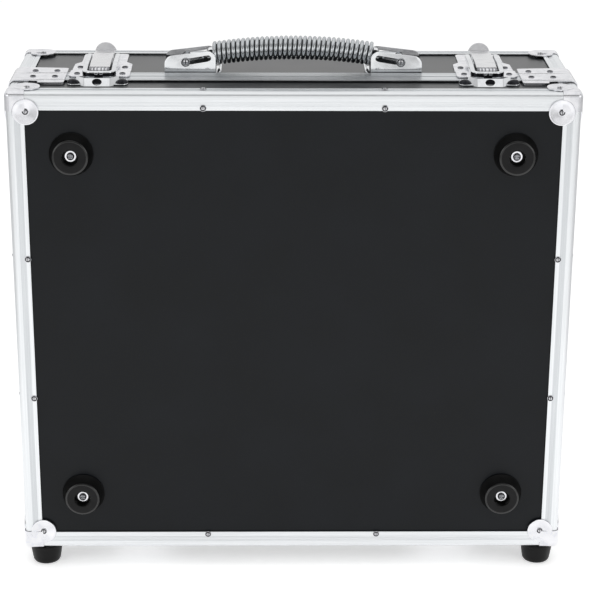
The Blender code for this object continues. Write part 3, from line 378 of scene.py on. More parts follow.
def black_laminate():
    """Phenolic laminate pressed against a fine leather-grained plate.

    It is an even, nearly neutral black face on, and turns pale grey where it is seen at a low angle.
    """
    material, node, place = new_material(
        "pressed_black_laminate",
        Specular_IOR_Level=0.1,
        Coat_Weight=1.0,
        Coat_IOR=1.2,
        Coat_Roughness=0.3,
    )
    cloud = node("TexNoise", "Fac", {"Vector": place, "Scale": 1 / 0.055, "Detail": 3.0})
    # A grain of 0.4 mm is drawn at 1.1 mm so that it shows
    grain = node("TexVoronoi", "Distance", {"Vector": place, "Scale": 1 / 0.0011}, feature="SMOOTH_F1")
    dust = node("TexNoise", "Fac", {"Vector": place, "Scale": 1 / 0.0016, "Detail": 5.0})
    patch = node("MapRange", "Result", {"Value": cloud, "From Min": 0.3, "From Max": 0.7})
    tone = node("Mix", 2, {0: patch, 6: colour("#0e1114"), 7: colour("#13161a")}, data_type="RGBA")
    speck = node("MapRange", "Result", {"Value": dust, "From Min": 0.6, "From Max": 0.8})
    speckled = node("Mix", 2, {0: speck, 6: tone, 7: colour("#1f2226")}, data_type="RGBA")
    gloss = node("MapRange", "Result", {"Value": cloud, "To Min": 0.32, "To Max": 0.44})
    relief = node("Bump", "Normal", {"Height": grain, "Distance": 0.00006, "Strength": 0.5})
    return feed(material, Base_Color=speckled, Roughness=gloss, Normal=relief)


def drawn_aluminium(axis, name, light, dark):
    """Aluminium extrusion: bright and satin, with fine die lines along its length."""
    material, node, place = new_material(f"{name}_{axis}", Metallic=1.0)
    # Die lines of 0.1 mm are drawn 0.6 mm apart so that they show
    across, along = 1 / 0.0006, 1 / 0.09
    scale = [along if axis == part else across for part in "xyz"]
    lines = node("Mapping", "Vector", {"Vector": place, "Scale": scale})
    draw = node("TexNoise", "Fac", {"Vector": lines, "Scale": 1.0, "Detail": 4.0, "Roughness": 0.6})
    handled = node("TexNoise", "Fac", {"Vector": place, "Scale": 1 / 0.035, "Detail": 4.0})
    streak = node("MapRange", "Result", {"Value": draw, "From Min": 0.3, "From Max": 0.7})
    tone = node("Mix", 2, {0: streak, 6: colour(dark), 7: colour(light)}, data_type="RGBA")
    smear = node("MapRange", "Result", {"Value": handled, "To Min": -0.05, "To Max": 0.05})
    satin = node("MapRange", "Result", {"Value": draw, "To Min": 0.26, "To Max": 0.4})
    gloss = node("Math", "Value", {0: satin, 1: smear}, operation="ADD")
    relief = node("Bump", "Normal", {"Height": draw, "Distance": 0.00002, "Strength": 0.5})
    return feed(material, Base_Color=tone, Roughness=gloss, Normal=relief)


def plated_steel(name, light, dark, roughness, cloud_size=0.007):
    """Pressed steel with a bath-plated skin: bright, faintly clouded, with fine wear in the gloss."""
    material, node, place = new_material(name, Metallic=1.0)
    cloud = node("TexNoise", "Fac", {"Vector": place, "Scale": 1 / cloud_size, "Detail": 5.0})
    skin = node("TexNoise", "Fac", {"Vector": place, "Scale": 1 / 0.0009, "Detail": 3.0})
    bath = node("MapRange", "Result", {"Value": cloud, "From Min": 0.32, "From Max": 0.68})
    tone = node("Mix", 2, {0: bath, 6: colour(dark), 7: colour(light)}, data_type="RGBA")
    wear = {"Value": skin, "To Min": roughness * 0.6, "To Max": roughness * 1.4}
    gloss = node("MapRange", "Result", wear)
    relief = node("Bump", "Normal", {"Height": skin, "Distance": 0.00001, "Strength": 0.5})
    return feed(material, Base_Color=tone, Roughness=gloss, Normal=relief)


def brushed_steel():
    """Stainless steel brushed across the lever: fine level lines in a soft glare."""
    material, node, place = new_material("brushed_stainless_steel", Metallic=1.0)
    # Brush lines of 0.05 mm are drawn 0.5 mm apart so that they show
    scale = (1 / 0.02, 1 / 0.0005, 1 / 0.0005)
    lines = node("Mapping", "Vector", {"Vector": place, "Scale": scale})
    brush = node("TexNoise", "Fac", {"Vector": lines, "Scale": 1.0, "Detail": 3.0, "Roughness": 0.7})
    line = node("MapRange", "Result", {"Value": brush, "From Min": 0.3, "From Max": 0.7})
    tone = node("Mix", 2, {0: line, 6: colour("#cfd0d2"), 7: colour("#f3f3f4")}, data_type="RGBA")
    gloss = node("MapRange", "Result", {"Value": brush, "To Min": 0.2, "To Max": 0.36})
    relief = node("Bump", "Normal", {"Height": brush, "Distance": 0.00002, "Strength": 0.4})
    return feed(material, Base_Color=tone, Roughness=gloss, Normal=relief)


def black_polymer(name, light, dark, skin_size, skin_depth, low_gloss, high_gloss, level):
    """Rubber or PVC: a dull black with a fine skin and slightly cleaner and duller spots."""
    material, node, place = new_material(name, Specular_IOR_Level=level)
    skin = node("TexNoise", "Fac", {"Vector": place, "Scale": 1 / skin_size, "Detail": 4.0})
    cloud = node("TexNoise", "Fac", {"Vector": place, "Scale": 1 / 0.009, "Detail": 3.0})
    patch = node("MapRange", "Result", {"Value": cloud, "From Min": 0.3, "From Max": 0.7})
    tone = node("Mix", 2, {0: patch, 6: colour(dark), 7: colour(light)}, data_type="RGBA")
    gloss = node("MapRange", "Result", {"Value": cloud, "To Min": low_gloss, "To Max": high_gloss})
    relief = node("Bump", "Normal", {"Height": skin, "Distance": skin_depth, "Strength": 0.5})
    return feed(material, Base_Color=tone, Roughness=gloss, Normal=relief)


def fibre(name, dark, light, size, depth):
    """Needled felt or open-cell foam: very matte, with a fuzzy relief of fibres or cells."""
    material, node, place = new_material(name, Roughness=0.95, Sheen_Weight=0.25)
    tuft = node("TexNoise", "Fac", {"Vector": place, "Scale": 1 / size, "Detail": 6.0})
    cells = node("TexVoronoi", "Distance", {"Vector": place, "Scale": 1 / size})
    mixed = node("Math", "Value", {0: tuft, 1: cells}, operation="MULTIPLY")
    height = node("MapRange", "Result", {"Value": mixed, "From Min": 0.05, "From Max": 0.45})
    # Painted shade: the low parts of the relief are drawn darker and its tips lighter
    tone = node("Mix", 2, {0: height, 6: colour(dark), 7: colour(light)}, data_type="RGBA")
    relief = node("Bump", "Normal", {"Height": mixed, "Distance": depth, "Strength": 0.8})
    return feed(material, Base_Color=tone, Normal=relief)


LAMINATE = black_laminate()
# Anodised after drawing: silvery and clean, the brightest metal on the case
ALUMINIUM = {axis: drawn_aluminium(axis, "anodised_aluminium", "#f2f4f6", "#dfe2e4") for axis in "xyz"}
# Left as it came from the mill: the same lines in a flatter grey. On the recessed band of the uprights it is
# painted shade
MILL_AND_BAND_SHADE = {axis: drawn_aluminium(axis, "mill_finish_and_band_shade_aluminium", "#dcdfe1", "#c8cbce") for axis in "xz"}
# Zinc from a bright bath: pale and half glossy, so stampings look soft
ZINC = plated_steel("bright_zinc_plate", "#f0f0f3", "#dcdde1", 0.22)
# Nickel over pressed steel: a clear gloss with dark and light side by side
NICKEL = plated_steel("nickel_plate", "#eceef0", "#dadcdf", 0.1)
# Chromium over nickel: nearly a mirror
CHROME = plated_steel("chromium_plate", "#f0f2f4", "#e2e4e6", 0.07)
# Nickelled in a barrel with other rivets: glossy but greyer than the plates
RIVET_HEAD = plated_steel("nickelled_rivet", "#dcdcdf", "#b9babd", 0.12, 0.003)
# Blasted with fine beads: an even, light satin that mirrors nothing. On the far bracket cheek it is painted
# light
SATIN_AND_PAINTED_LIGHT = plated_steel("blasted_tab_and_painted_light", "#f6f6f7", "#ececee", 0.5)
# Mid grey steel with some gloss, darker than the plates: for rolled rivet rims, the lever's knuckles and the
# screw heads
RIVET_RIM = plated_steel("grey_rivet_rim_steel", "#9c9da1", "#77787c", 0.22, 0.003)
# Painted shade: a dull, dark grey steel for inner faces and the foot of a step, where shade falls
PAINTED_SHADE_GREY = plated_steel("painted_shade_grey_steel", "#77797c", "#56585b", 0.3)
# Painted shade: a nearly black steel for rivet bores and grooves, hollows, back faces and patches where
# shade falls; on the rivets' slits and the keeper's ears it is a painted dark reflection
PAINTED_DARK = plated_steel("painted_shade_and_dark_reflection", "#3a3b3f", "#232427", 0.35, 0.003)
# Drawn spring wire: glossy, in a middle grey
WIRE = plated_steel("bright_spring_wire", "#cccfd1", "#b0b3b6", 0.16, 0.004)
BRUSHED = brushed_steel()
# Rubber as it leaves its mould: deep black with a dull gloss
RUBBER = black_polymer("moulded_rubber", "#070707", "#040404", 0.0007, 0.00005, 0.36, 0.5, 0.2)
# Painted light: the rubber a shade paler and duller, for the foot's flat face, so it reads lit against its
# darker sides
RUBBER_LIT_FACE = black_polymer("painted_light_rubber_face", "#19191a", "#101011", 0.0005, 0.00008, 0.4, 0.55, 0.2)
# Rubber rubbed smooth at an edge: black with a small clear glint
RUBBER_RIM = black_polymer("polished_rubber_rim", "#0b0b0b", "#070707", 0.0007, 0.00001, 0.12, 0.2, 0.6)
# Extruded soft PVC: black with a faint, even sheen. In the closure's seam it is painted shade
PVC_AND_SEAM_SHADE = black_polymer("black_pvc_and_seam_shade", "#1b1c1f", "#101113", 0.0015, 0.00004, 0.3, 0.45, 0.4)
# Needle-punched polyester: matte charcoal with a short nap
FELT = fibre("needled_felt", "#1a1b1e", "#34363a", 0.0012, 0.0003)
# Cut polyurethane foam: matte charcoal with open pores
FOAM = fibre("open_cell_foam", "#1d1e21", "#3a3c41", 0.0016, 0.0004)


# The boards stay as they are packed

for wall in frame["nodes"].values():
    if "wall" in wall.name or wall.name.endswith("_panel"):
        wall.data.materials.clear()
        wall.data.materials.append(LAMINATE)


# Aluminium angle

FLANGE = 0.0144
ANGLE_THICKNESS = 0.00072
ANGLE_RADIUS = 0.0034
BAND_START, BAND_END, BAND_DEPTH = 0.0064, 0.0112, 0.0002
RIB_STARTS, RIB_WIDTH = (0.0073, 0.0086, 0.0099), 0.0006
BAR_END = 0.0150


def angle_bar(length):
    """A length of ribbed angle along x, its outer corner on the x axis, one face to -y and one to +z."""
    block((-length / 2, 0, -FLANGE), (length / 2, FLANGE, 0))
    round_edges(lambda a, b: max(a.y, b.y, -a.z, -b.z) < NEAR, ANGLE_RADIUS, 5)
    clear_faces(lambda middle, normal: normal.y > 0.9 or normal.z < -0.9 or abs(normal.x) > 0.9)
    grooves = [(BAND_START, BAND_END), *[(start, start + RIB_WIDTH) for start in RIB_STARTS]]
    for across in sorted(edge for groove in grooves for edge in groove):
        slice_at((0, 0, -across), (0, 0, 1))
        slice_at((0, across, 0), (0, 1, 0))
    for first, last in grooves:
        for outward, run in ((Vector((0, -1, 0)), lambda p: -p.z), (Vector((0, 0, 1)), lambda p: p.y)):
            pick_faces(lambda middle, normal: normal.dot(outward) > 0.99 and first < run(middle) < last)
            pull(-outward * BAND_DEPTH)
    face_outward()
    return thicken(ANGLE_THICKNESS)


def quarter(axis, turns):
    """A turn by quarters about an axis."""
    return Matrix.Rotation(turns * math.pi / 2, 4, axis)


def frame_bars(front, start, end):
    """The bars round one box: four round its face and four along its depth, as (bar, direction)."""
    level = angle_bar(2 * (HALF_WIDTH - BAR_END))
    upright = angle_bar(HEIGHT - 2 * BAR_END)
    short = angle_bar(end - start - BAR_END)
    face = Matrix.Translation((0, front, HEIGHT / 2))
    if front > 0:
        face = face @ Matrix.Rotation(math.pi, 4, "Z")
    made = []
    for bar, axis, reach, first in ((level, "x", HEIGHT / 2, 0), (upright, "z", HALF_WIDTH, 1)):
        for turns in (first, first + 2):
            place = face @ quarter("Y", turns) @ Matrix.Translation((0, 0, reach))
            made.append((placed_copy(bar, place), axis))
    run_middle = (start + BAR_END + end) / 2 if front == 0 else (start + end - BAR_END) / 2
    for side in (-1, 1):
        for z, up in ((0, -1), (HEIGHT, 1)):
            corner = Matrix.Translation((side * HALF_WIDTH, run_middle, z))
            place = corner @ Matrix.Diagonal((side, 1, up, 1)) @ quarter("Z", 1)
            made.append((placed_copy(short, place), "y"))
    drop(level, upright, short)
    return made


def add_angles():
    """The run of angle round each box."""
    for body, front, start, end in (
        ("tray", 0, 0, TRAY_EDGE),
        ("lid", DEPTH, LID_TRIM_START, DEPTH),
    ):

        def in_band(middle, normal):
            if abs(normal.y) > 0.9:
                return BAND_START < HALF_WIDTH - abs(middle.x) < BAND_END
            return abs(normal.x) > 0.9 and BAND_START < abs(middle.y - front) < BAND_END

        bars = frame_bars(front, start, end)
        for bar, axis in bars:
            coat(bar, ALUMINIUM[axis])
            if axis == "z":
                # Painted shade: the recessed band of the uprights is given the flatter grey, where the
                # groove is in shade
                give(bar, MILL_AND_BAND_SHADE["z"], in_band)
        whole = join([bar for bar, axis in bars])
        hand_over(whole, f"{body}_ribbed_angle", None, body, [f"{body}_edge_trim"])


add_angles()


# Closure profile round the lid's mouth

CLOSURE_FRONT, CLOSURE_BACK = 0.0403, 0.0650
CLOSURE_PROUD = 0.0003
CLOSURE_THICKNESS = 0.0006
# The rim that turns in: each step's width and how far back it then runs
CLOSURE_STEPS = ((0.0007, 0.0018), (0.0083, 0.0084))
# Each groove: how far behind the front, how wide and how deep
CLOSURE_GROOVES = ((0.0031, 0.0006, 0.0003), (0.0115, 0.0018, 0.0005), (0.0212, 0.0006, 0.0003))
SEAM_SHADE_START, SEAM_SHADE_END = CLOSURE_FRONT + 0.0010, CLOSURE_FRONT + 0.0020


def add_closure():
    """The hollow profile round the lid's mouth, with its rim turned in and grooves along its run."""
    block(
        (-HALF_WIDTH - CLOSURE_PROUD, CLOSURE_FRONT, -CLOSURE_PROUD),
        (HALF_WIDTH + CLOSURE_PROUD, CLOSURE_BACK, HEIGHT + CLOSURE_PROUD),
    )
    clear_faces(lambda middle, normal: normal.y > 0.9)
    pick_faces(lambda middle, normal: normal.y < -0.9)
    for width, step in CLOSURE_STEPS:
        bpy.ops.mesh.inset(thickness=width, use_even_offset=True)
        pull((0, step, 0))
    bpy.ops.mesh.delete(type="FACE")
    round_edges(lambda a, b: abs(a.y - b.y) > 0.02, ANGLE_RADIUS + CLOSURE_PROUD, 5)
    for start, width, depth in CLOSURE_GROOVES:
        first, last = CLOSURE_FRONT + start, CLOSURE_FRONT + start + width
        slice_depths((first, last))
        pick_faces(
            lambda middle, normal: first < middle.y < last
            and max(abs(middle.x) - HALF_WIDTH, abs(middle.z - HEIGHT / 2) - HEIGHT / 2) > -0.004
        )
        bpy.ops.mesh.extrude_region_shrink_fatten(TRANSFORM_OT_shrink_fatten={"value": -depth})
    thicken(CLOSURE_THICKNESS)
    # Painted shade: the black PVC is given to a band behind the rim, where the seam is in shade, so the seam
    # reads as a dark line
    piece = coat(
        soften(0.00015, 1, math.radians(50)),
        MILL_AND_BAND_SHADE["x"],
        (MILL_AND_BAND_SHADE["z"], lambda middle, normal: abs(middle.x) > HALF_WIDTH - 0.003),
        (PVC_AND_SEAM_SHADE, lambda middle, normal: normal.y < -0.9 and SEAM_SHADE_START < middle.y < SEAM_SHADE_END),
    )
    hand_over(piece, "closure_profile", None, "lid", ["lid_closure_profile"], flat=True)


add_closure()


# The two kinds of rivet, each made once and copied to its places

RIVET_SIDES = 24
DOME_PROFILE = [
    (0.0026, 0.0000), (0.0027, 0.0003), (0.0026, 0.0006), (0.0023, 0.0007), (0.0021, 0.0004),
    (0.0017, 0.0004), (0.0016, 0.0008), (0.0013, 0.0012), (0.0008, 0.00145), (0.0002, 0.0015),
]
TUBE_PROFILE = [
    (0.0025, -0.0002), (0.0025, 0.0003), (0.0023, 0.0006), (0.0020, 0.0007),
    (0.0018, 0.0005), (0.0016, 0.0002), (0.0014, 0.0000), (0.0003, 0.0000),
]


def dome_rivet():
    """A set rivet: a bright rim, a ring groove where the snap tool bit, painted near black as painted shade,
    and a dome with an upright slit painted near black as a painted dark reflection.
    """
    head = lathe(DOME_PROFILE, RIVET_SIDES)
    block((-0.00025, -0.0014, 0.0009), (0.00025, 0.0014, 0.0020))
    cut_out(head, done())

    def in_ring_or_slit(middle, normal):
        return 0.0015 < middle.xy.length < 0.0022 or abs(middle.x) < 0.0003 and middle.z < 0.00125

    return coat(head, RIVET_HEAD, (PAINTED_DARK, in_ring_or_slit))


def tube_rivet():
    """A hollow rivet rolled over at its rim, its shallow bore painted near black as painted shade."""
    bore = (PAINTED_DARK, lambda middle, normal: middle.xy.length < 0.0019 and normal.z > 0)
    return coat(lathe(TUBE_PROFILE, RIVET_SIDES), RIVET_RIM, bore)


DOME_RIVET = dome_rivet()
TUBE_RIVET = tube_rivet()


def upright_turn(direction):
    """Turns a rivet from +z to a direction, with its slit kept upright or in the case's depth."""
    direction = Vector(direction)
    up = Vector((0, 1, 0)) if abs(direction.z) > 0.5 else Vector((0, 0, 1))
    side = up.cross(direction)
    return Matrix((side, up, direction)).transposed().to_4x4()


def row_of(rivet, places, name, body):
    """Copies of a rivet at several (place, direction) pairs, joined as one piece."""
    copies = [
        placed_copy(rivet, Matrix.Translation(place) @ upright_turn(direction))
        for place, direction in places
    ]
    return hand_over(join(copies), name, None, body)


# Corner caps with a dished, riveted lobe on each face

CAP_PROUD = 0.0009
CAP_PLATE = 0.0150
CAP_THICKNESS = 0.0006
LOBE_CENTRE = 0.0155
LOBE_RADIUS = 0.0105
LOBE_PROFILE = [
    (LOBE_RADIUS - 0.0003, 0.0001), (LOBE_RADIUS, 0.0003), (LOBE_RADIUS, 0.0010),
    (LOBE_RADIUS - 0.0002, 0.0013), (LOBE_RADIUS - 0.0007, 0.0014), (0.0090, 0.0013),
    (0.0080, 0.0011), (0.0055, 0.0006), (0.0034, 0.0003), (0.0028, 0.00028),
]


def cap_lobe():
    """A pressed disc, dished towards its rivet, lying on the xy plane with its face to +z."""
    disc = coat(lathe(LOBE_PROFILE, 48), ZINC)
    return join([disc, placed_copy(DOME_RIVET, Matrix.Translation((0, 0, 0.0002)))])


def add_caps():
    """One cap for the corner at the origin, copied and mirrored to all eight corners."""
    block([-CAP_PROUD] * 3, [CAP_PLATE] * 3)
    outer = -CAP_PROUD + NEAR
    round_edges(
        lambda a, b: sum(a[i] < outer and b[i] < outer for i in range(3)) >= 2,
        ANGLE_RADIUS + CAP_PROUD,
        5,
    )
    clear_faces(lambda middle, normal: max(normal) > 0.9)
    shell = coat(thicken(CAP_THICKNESS), ZINC)
    lobe = cap_lobe()
    lobes = []
    for axis, turn in ((0, quarter("Y", -1)), (1, quarter("X", 1)), (2, quarter("X", 2))):
        centre = Vector([LOBE_CENTRE] * 3)
        centre[axis] = 0
        lobes.append(placed_copy(lobe, Matrix.Translation(centre) @ turn))
    drop(lobe)
    cap = join([shell, *lobes])
    for body, depth, inward in (("tray", 0, 1), ("lid", DEPTH, -1)):
        for level, z, rise in (("top", HEIGHT, -1), ("bottom", 0, 1)):
            for side, sign in SIDES:
                corner = Matrix.Translation((sign * HALF_WIDTH, depth, z))
                copy = placed_copy(cap, corner @ Matrix.Diagonal((-sign, inward, rise, 1)))
                node = f"{body}_cap_{level}_{side}"
                hand_over(copy, f"pressed_{node}", None, body, [node], flat=True)
    drop(cap)


add_caps()


# Rivets of the angle

RIVET_INSET = 0.0125
RIVET_SIDE_DEPTH = 0.0105
RIVET_SPREAD = 0.071
RIVET_RISES = (0.137, 0.258)


def add_angle_rivets():
    """The rivets along the faces, the sides, the top and the underside of each run of angle."""
    for body, face, outward, side_depth in (
        ("tray", 0, -1, RIVET_SIDE_DEPTH),
        ("lid", DEPTH, 1, DEPTH - RIVET_SIDE_DEPTH),
    ):
        places = []
        for sign in (-1, 1):
            for z in (RIVET_INSET, HEIGHT - RIVET_INSET):
                places.append(((sign * RIVET_SPREAD, face, z), (0, outward, 0)))
            for z in RIVET_RISES:
                places.append(((sign * (HALF_WIDTH - RIVET_INSET), face, z), (0, outward, 0)))
                places.append(((sign * HALF_WIDTH, side_depth, z), (sign, 0, 0)))
            for z, up in ((0, -1), (HEIGHT, 1)):
                places.append(((sign * RIVET_SPREAD, side_depth, z), (0, 0, up)))
        row_of(DOME_RIVET, places, f"{body}_angle_rivets", body)


add_angle_rivets()


# Seam braces

BRACE_FACE = 0.0016
BRACE_RIVETS = [(0.0170, 0.046), (0.0345, 0.046), (0.0170, 0.065), (0.0345, 0.065)]
BRACE_LINE, BRACE_JOGGLE, BRACE_LIP = (depth + CASE_CORNER.y for depth in (0.0578, 0.0352, 0.0324))
BRACE_LINE_HALF, JOGGLE_RUN = 0.0013, 0.0019
LEVEL_LEG_DEEP, LEVEL_LEG_END = 0.010, HALF_WIDTH - 0.0215


def add_braces():
    """Seam braces, each with a scored line over the seam's rear and a lip joggled down to the tray."""
    for level, up, z in (("top", 1, HEIGHT + BRACE_FACE), ("bottom", -1, -BRACE_FACE)):

        def on_level_leg(place):
            # The leg that lies on the top or underside, past its bend over the case's edge
            edge = (CASE_CORNER.z + HEIGHT / 2) * up + HEIGHT / 2 - LEVEL_LEG_DEEP
            return place.z * up > edge and abs(place.x) < LEVEL_LEG_END

        for side, sign in SIDES:
            node = f"corner_brace_{level}_{side}"
            plate = worked_copy(node, 0.0003, 2)
            edit()
            slice_depths((BRACE_LINE - BRACE_LINE_HALF, BRACE_LINE, BRACE_LINE + BRACE_LINE_HALF))
            slice_depths((BRACE_JOGGLE, BRACE_JOGGLE + JOGGLE_RUN, BRACE_LIP))
            slice_at((sign * (HALF_WIDTH - 0.022), 0, 0), (sign, 0, 0))
            move_points(
                lambda place: abs(place.y - BRACE_LINE) < NEAR and on_level_leg(place),
                (0, 0, -up * 0.0004),
            )
            move_points(
                lambda place: place.y < BRACE_JOGGLE + NEAR and on_level_leg(place),
                (0, 0, -up * 0.0007),
            )
            pick_faces(
                lambda middle, normal: normal.z * up < -0.9
                and middle.y < BRACE_LIP
                and on_level_leg(middle)
            )
            pull((0, 0, -up * 0.0010))
            done()
            hand_over(plate, f"bent_{node}", ZINC, "lid", [node], in_case=False, flat=True)
            places = []
            for inward, depth in BRACE_RIVETS:
                places.append(((sign * (HALF_WIDTH - inward), depth, z), (0, 0, up)))
                x = sign * (HALF_WIDTH + BRACE_FACE)
                places.append(((x, depth, HEIGHT - inward if up > 0 else inward), (sign, 0, 0)))
            row_of(TUBE_RIVET, places, f"brace_rivets_{level}_{side}", "lid")


add_braces()


# Feet

BASE_FACE = 0.0012
BASE_INSET = 0.050
BASE_PROFILE = [
    (0.0171, 0.0), (0.0175, 0.0004), (0.0175, 0.0012), (0.0172, 0.0016), (0.0144, 0.0100),
    (0.0141, 0.0109), (0.0134, 0.0114), (0.0126, 0.0115), (0.0071, 0.0115), (0.0067, 0.0113),
    (0.0065, 0.0109), (0.0064, 0.0050), (0.0010, 0.0050),
]
WASHER_PROFILE = [(0.0045, 0.0051), (0.0046, 0.0053), (0.0046, 0.0060), (0.0044, 0.0063), (0.0028, 0.0063)]
SCREW_PROFILE = [
    (0.0030, 0.0063), (0.0031, 0.0066), (0.0030, 0.0073),
    (0.0026, 0.0079), (0.0018, 0.0083), (0.0005, 0.0084),
]
STAND_FACE = -0.0013
STAND_PROFILE = [
    (0.0137, 0.0), (0.0141, 0.0004), (0.0140, 0.0020), (0.0136, 0.0023), (0.0119, 0.0135),
    (0.0115, 0.0153), (0.0107, 0.0166), (0.0094, 0.0173), (0.0080, 0.0174), (0.0048, 0.0174),
    (0.0045, 0.0170), (0.0044, 0.0114), (0.0006, 0.0114),
]


def add_base_feet():
    """The large feet on the tray's face, each with a cross-slotted screw and washer in its hollow."""

    def on_rim(middle, normal):
        return middle.y < -0.0101 and math.hypot(middle.x, middle.z) > 0.0127

    # The flat face is painted paler than the sides as painted light
    foot = coat(
        lathe(BASE_PROFILE, 64, direction=(0, -1, 0)),
        RUBBER,
        (RUBBER_LIT_FACE, lambda middle, normal: middle.y < -0.01145 and normal.y < -0.99),
        (RUBBER_RIM, on_rim),
    )
    washer = coat(lathe(WASHER_PROFILE), ZINC)
    head = lathe(SCREW_PROFILE)
    block((-0.0004, -0.0019, 0.0075), (0.0004, 0.0019, 0.0095))
    slot_tool = done()
    cut_out(head, slot_tool, placed_copy(slot_tool, quarter("Z", 1)))
    upright = join([washer, coat(head, RIVET_RIM)])
    screw = placed_copy(upright, quarter("X", 1))
    drop(upright)
    for side, sign in SIDES:
        for level, z in (("bottom", BASE_INSET), ("top", HEIGHT - BASE_INSET)):
            place = Matrix.Translation((sign * (HALF_WIDTH - BASE_INSET), BASE_FACE, z))
            node = f"base_foot_{level}_{side}"
            hand_over(placed_copy(foot, place), f"rubber_{node}", None, "tray", [node])
            node = f"base_foot_screw_{level}_{side}"
            hand_over(placed_copy(screw, place), f"cross_{node}", None, "tray", [node])
    drop(foot, screw)


def add_stand_feet():
    """The four small feet that the upright case stands on."""
    foot = lathe(STAND_PROFILE, 64, direction=(0, 0, -1))
    for body, row, depth in (("tray", "front", LOBE_CENTRE), ("lid", "rear", DEPTH - LOBE_CENTRE)):
        for side, sign in SIDES:
            place = Matrix.Translation((sign * (HALF_WIDTH - LOBE_CENTRE), depth, STAND_FACE))
            node = f"stand_foot_{row}_{side}"
            hand_over(placed_copy(foot, place), f"rubber_{node}", RUBBER, body, [node])
    drop(foot)


add_base_feet()
add_stand_feet()


# Linings

FELT_CELLS = (54, 47)
FOAM_CELLS = (28, 24)
FOAM_PEAK = 0.0215


def lining_sheet(node, cells, thickness):
    """A gridded sheet over the back of a lining's space, thickened towards the inside of the case."""
    low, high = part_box(node)
    inward = 1 if node == "tray_lining" else -1
    back = low.y if inward > 0 else high.y
    leave()
    bpy.ops.mesh.primitive_grid_add(x_subdivisions=cells[0], y_subdivisions=cells[1], size=1)
    sheet = bpy.context.object
    sheet.rotation_euler = (math.pi / 2, 0, 0)
    sheet.scale = (high.x - low.x, high.z - low.z, 1)
    sheet.location = (0, back, (low.z + high.z) / 2)
    freeze()
    edit()
    bpy.ops.mesh.select_all(action="SELECT")
    pull((0, inward * thickness, 0))
    return sheet


def add_linings():
    """A felt pad with a faint wave in the tray, and egg-crate foam in the lid."""
    sheet = lining_sheet("tray_lining", FELT_CELLS, 0.0036)
    face_outward()
    waves = bpy.data.textures.new("felt_waves", "CLOUDS")
    waves.noise_scale = 0.09
    finish_with("DISPLACE", texture=waves, strength=0.0005, mid_level=0.8)
    finish_with("SUBSURF", levels=1, render_levels=1)
    hand_over(sheet, "felt_pad", FELT, "tray", ["tray_lining"], in_case=False)

    low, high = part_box("lid_foam")
    sheet = lining_sheet("lid_foam", FOAM_CELLS, 0.0020)
    pitch_x, pitch_z = (high.x - low.x) / FOAM_CELLS[0], (high.z - low.z) / FOAM_CELLS[1]

    def crest(place):
        column, row = round((place.x - low.x) / pitch_x), round((place.z - low.z) / pitch_z)
        return place.y < high.y - 0.0010 and column % 2 == 1 and row % 2 == 1

    # The smoothing leaves less than half of each peak's height
    move_points(crest, (0, -FOAM_PEAK, 0))
    face_outward()
    finish_with("SUBSURF", levels=2, render_levels=2)
    hand_over(sheet, "egg_crate_foam", FOAM, "lid", ["lid_foam"], in_case=False)


add_linings()


# Hinges

HINGE_INSET = 0.095
HINGE_PITCH = 0.0160
# Each row of rivets: its leaf, its depth and the height of the leaf's face
HINGE_LEAVES = (("tray", 0.0270, -0.0003), ("lid", 0.0540, -0.0021))


def add_hinges():
    """The two hinges under the seam, with three rivets through each leaf."""
    for side, sign in SIDES:
        for piece, body in (("leaf_tray", "tray"), ("leaf_lid", "lid"), ("pin", "tray")):
            node = f"hinge_{piece}_{side}"
            copy = worked_copy(node, 0.0002, 2)
            hand_over(copy, f"steel_{node}", ZINC, body, [node], in_case=False, flat=True)
        x = sign * (HALF_WIDTH - HINGE_INSET)
        for body, depth, face in HINGE_LEAVES:
            places = [((x + step * HINGE_PITCH, depth, face), (0, 0, -1)) for step in (-1, 0, 1)]
            row_of(TUBE_RIVET, places, f"hinge_rivets_{body}_{side}", body)


add_hinges()


# Latches

LATCH_X = 0.1555
PLATE_TOP = 0.3968
SHADE_PATCH_HALF, SHADE_PATCH_START, SHADE_PATCH_END = 0.0096, 0.0500, 0.1245
LATCH_RIVETS = ((0.055, HEIGHT + 0.0018), (0.0845, HEIGHT))
LATCH_RIVET_SPREAD = 0.0182
PIVOT = Vector((0, 0.0520, 0.3997))
LEVER_FLAT = 0.4033
LEVER_HALF = 0.0082
LEVER_START, LEVER_END = 0.0566, 0.1200
# Bends of the lever in its depth, each with a cut beside it that keeps the shading of the bend short; the
# last cut bounds the painted shadow at the step
LEVER_CUTS = (0.0705, 0.0715, 0.1002, 0.1008, 0.1018, 0.1042)
TAB_PROFILE = [(0.0088, 0.0), (0.0091, 0.0002), (0.0091, 0.0010), (0.0088, 0.0012)]
KNUCKLE_PROFILE = [
    (0.0021, 0.0), (0.0025, 0.0002), (0.0026, 0.0007), (0.0026, 0.0016),
    (0.0022, 0.0021), (0.0022, 0.0025), (0.0026, 0.0030), (0.0026, 0.0044),
    (0.0022, 0.0049), (0.0026, 0.0054), (0.0026, 0.0070), (0.0024, 0.0075),
]
BAIL_INNER, BAIL_OUTER = 0.0095, 0.0136
BAIL_LOW, BAIL_HIGH = 0.3957, 0.4010
BAIL_FRONT, BAIL_BACK, BAIL_END = 0.0440, 0.0475, 0.1000
# The arms of the hook, from its bar to their ends: each stretch's run and rise
BAIL_ARM = ((0.0045, 0.0), (0.0190, 0.0021), (0.0290, 0.0))
KEEPER_FLOOR = 0.3936
KEEPER_FRONT, KEEPER_BACK = 0.0247, 0.0382
EAR_PROFILE = [
    (0.0045, 0.0000), (0.0044, 0.0011), (0.0041, 0.0019), (0.0034, 0.0027),
    (0.0024, 0.0032), (0.0012, 0.0034), (0.0003, 0.0035),
]


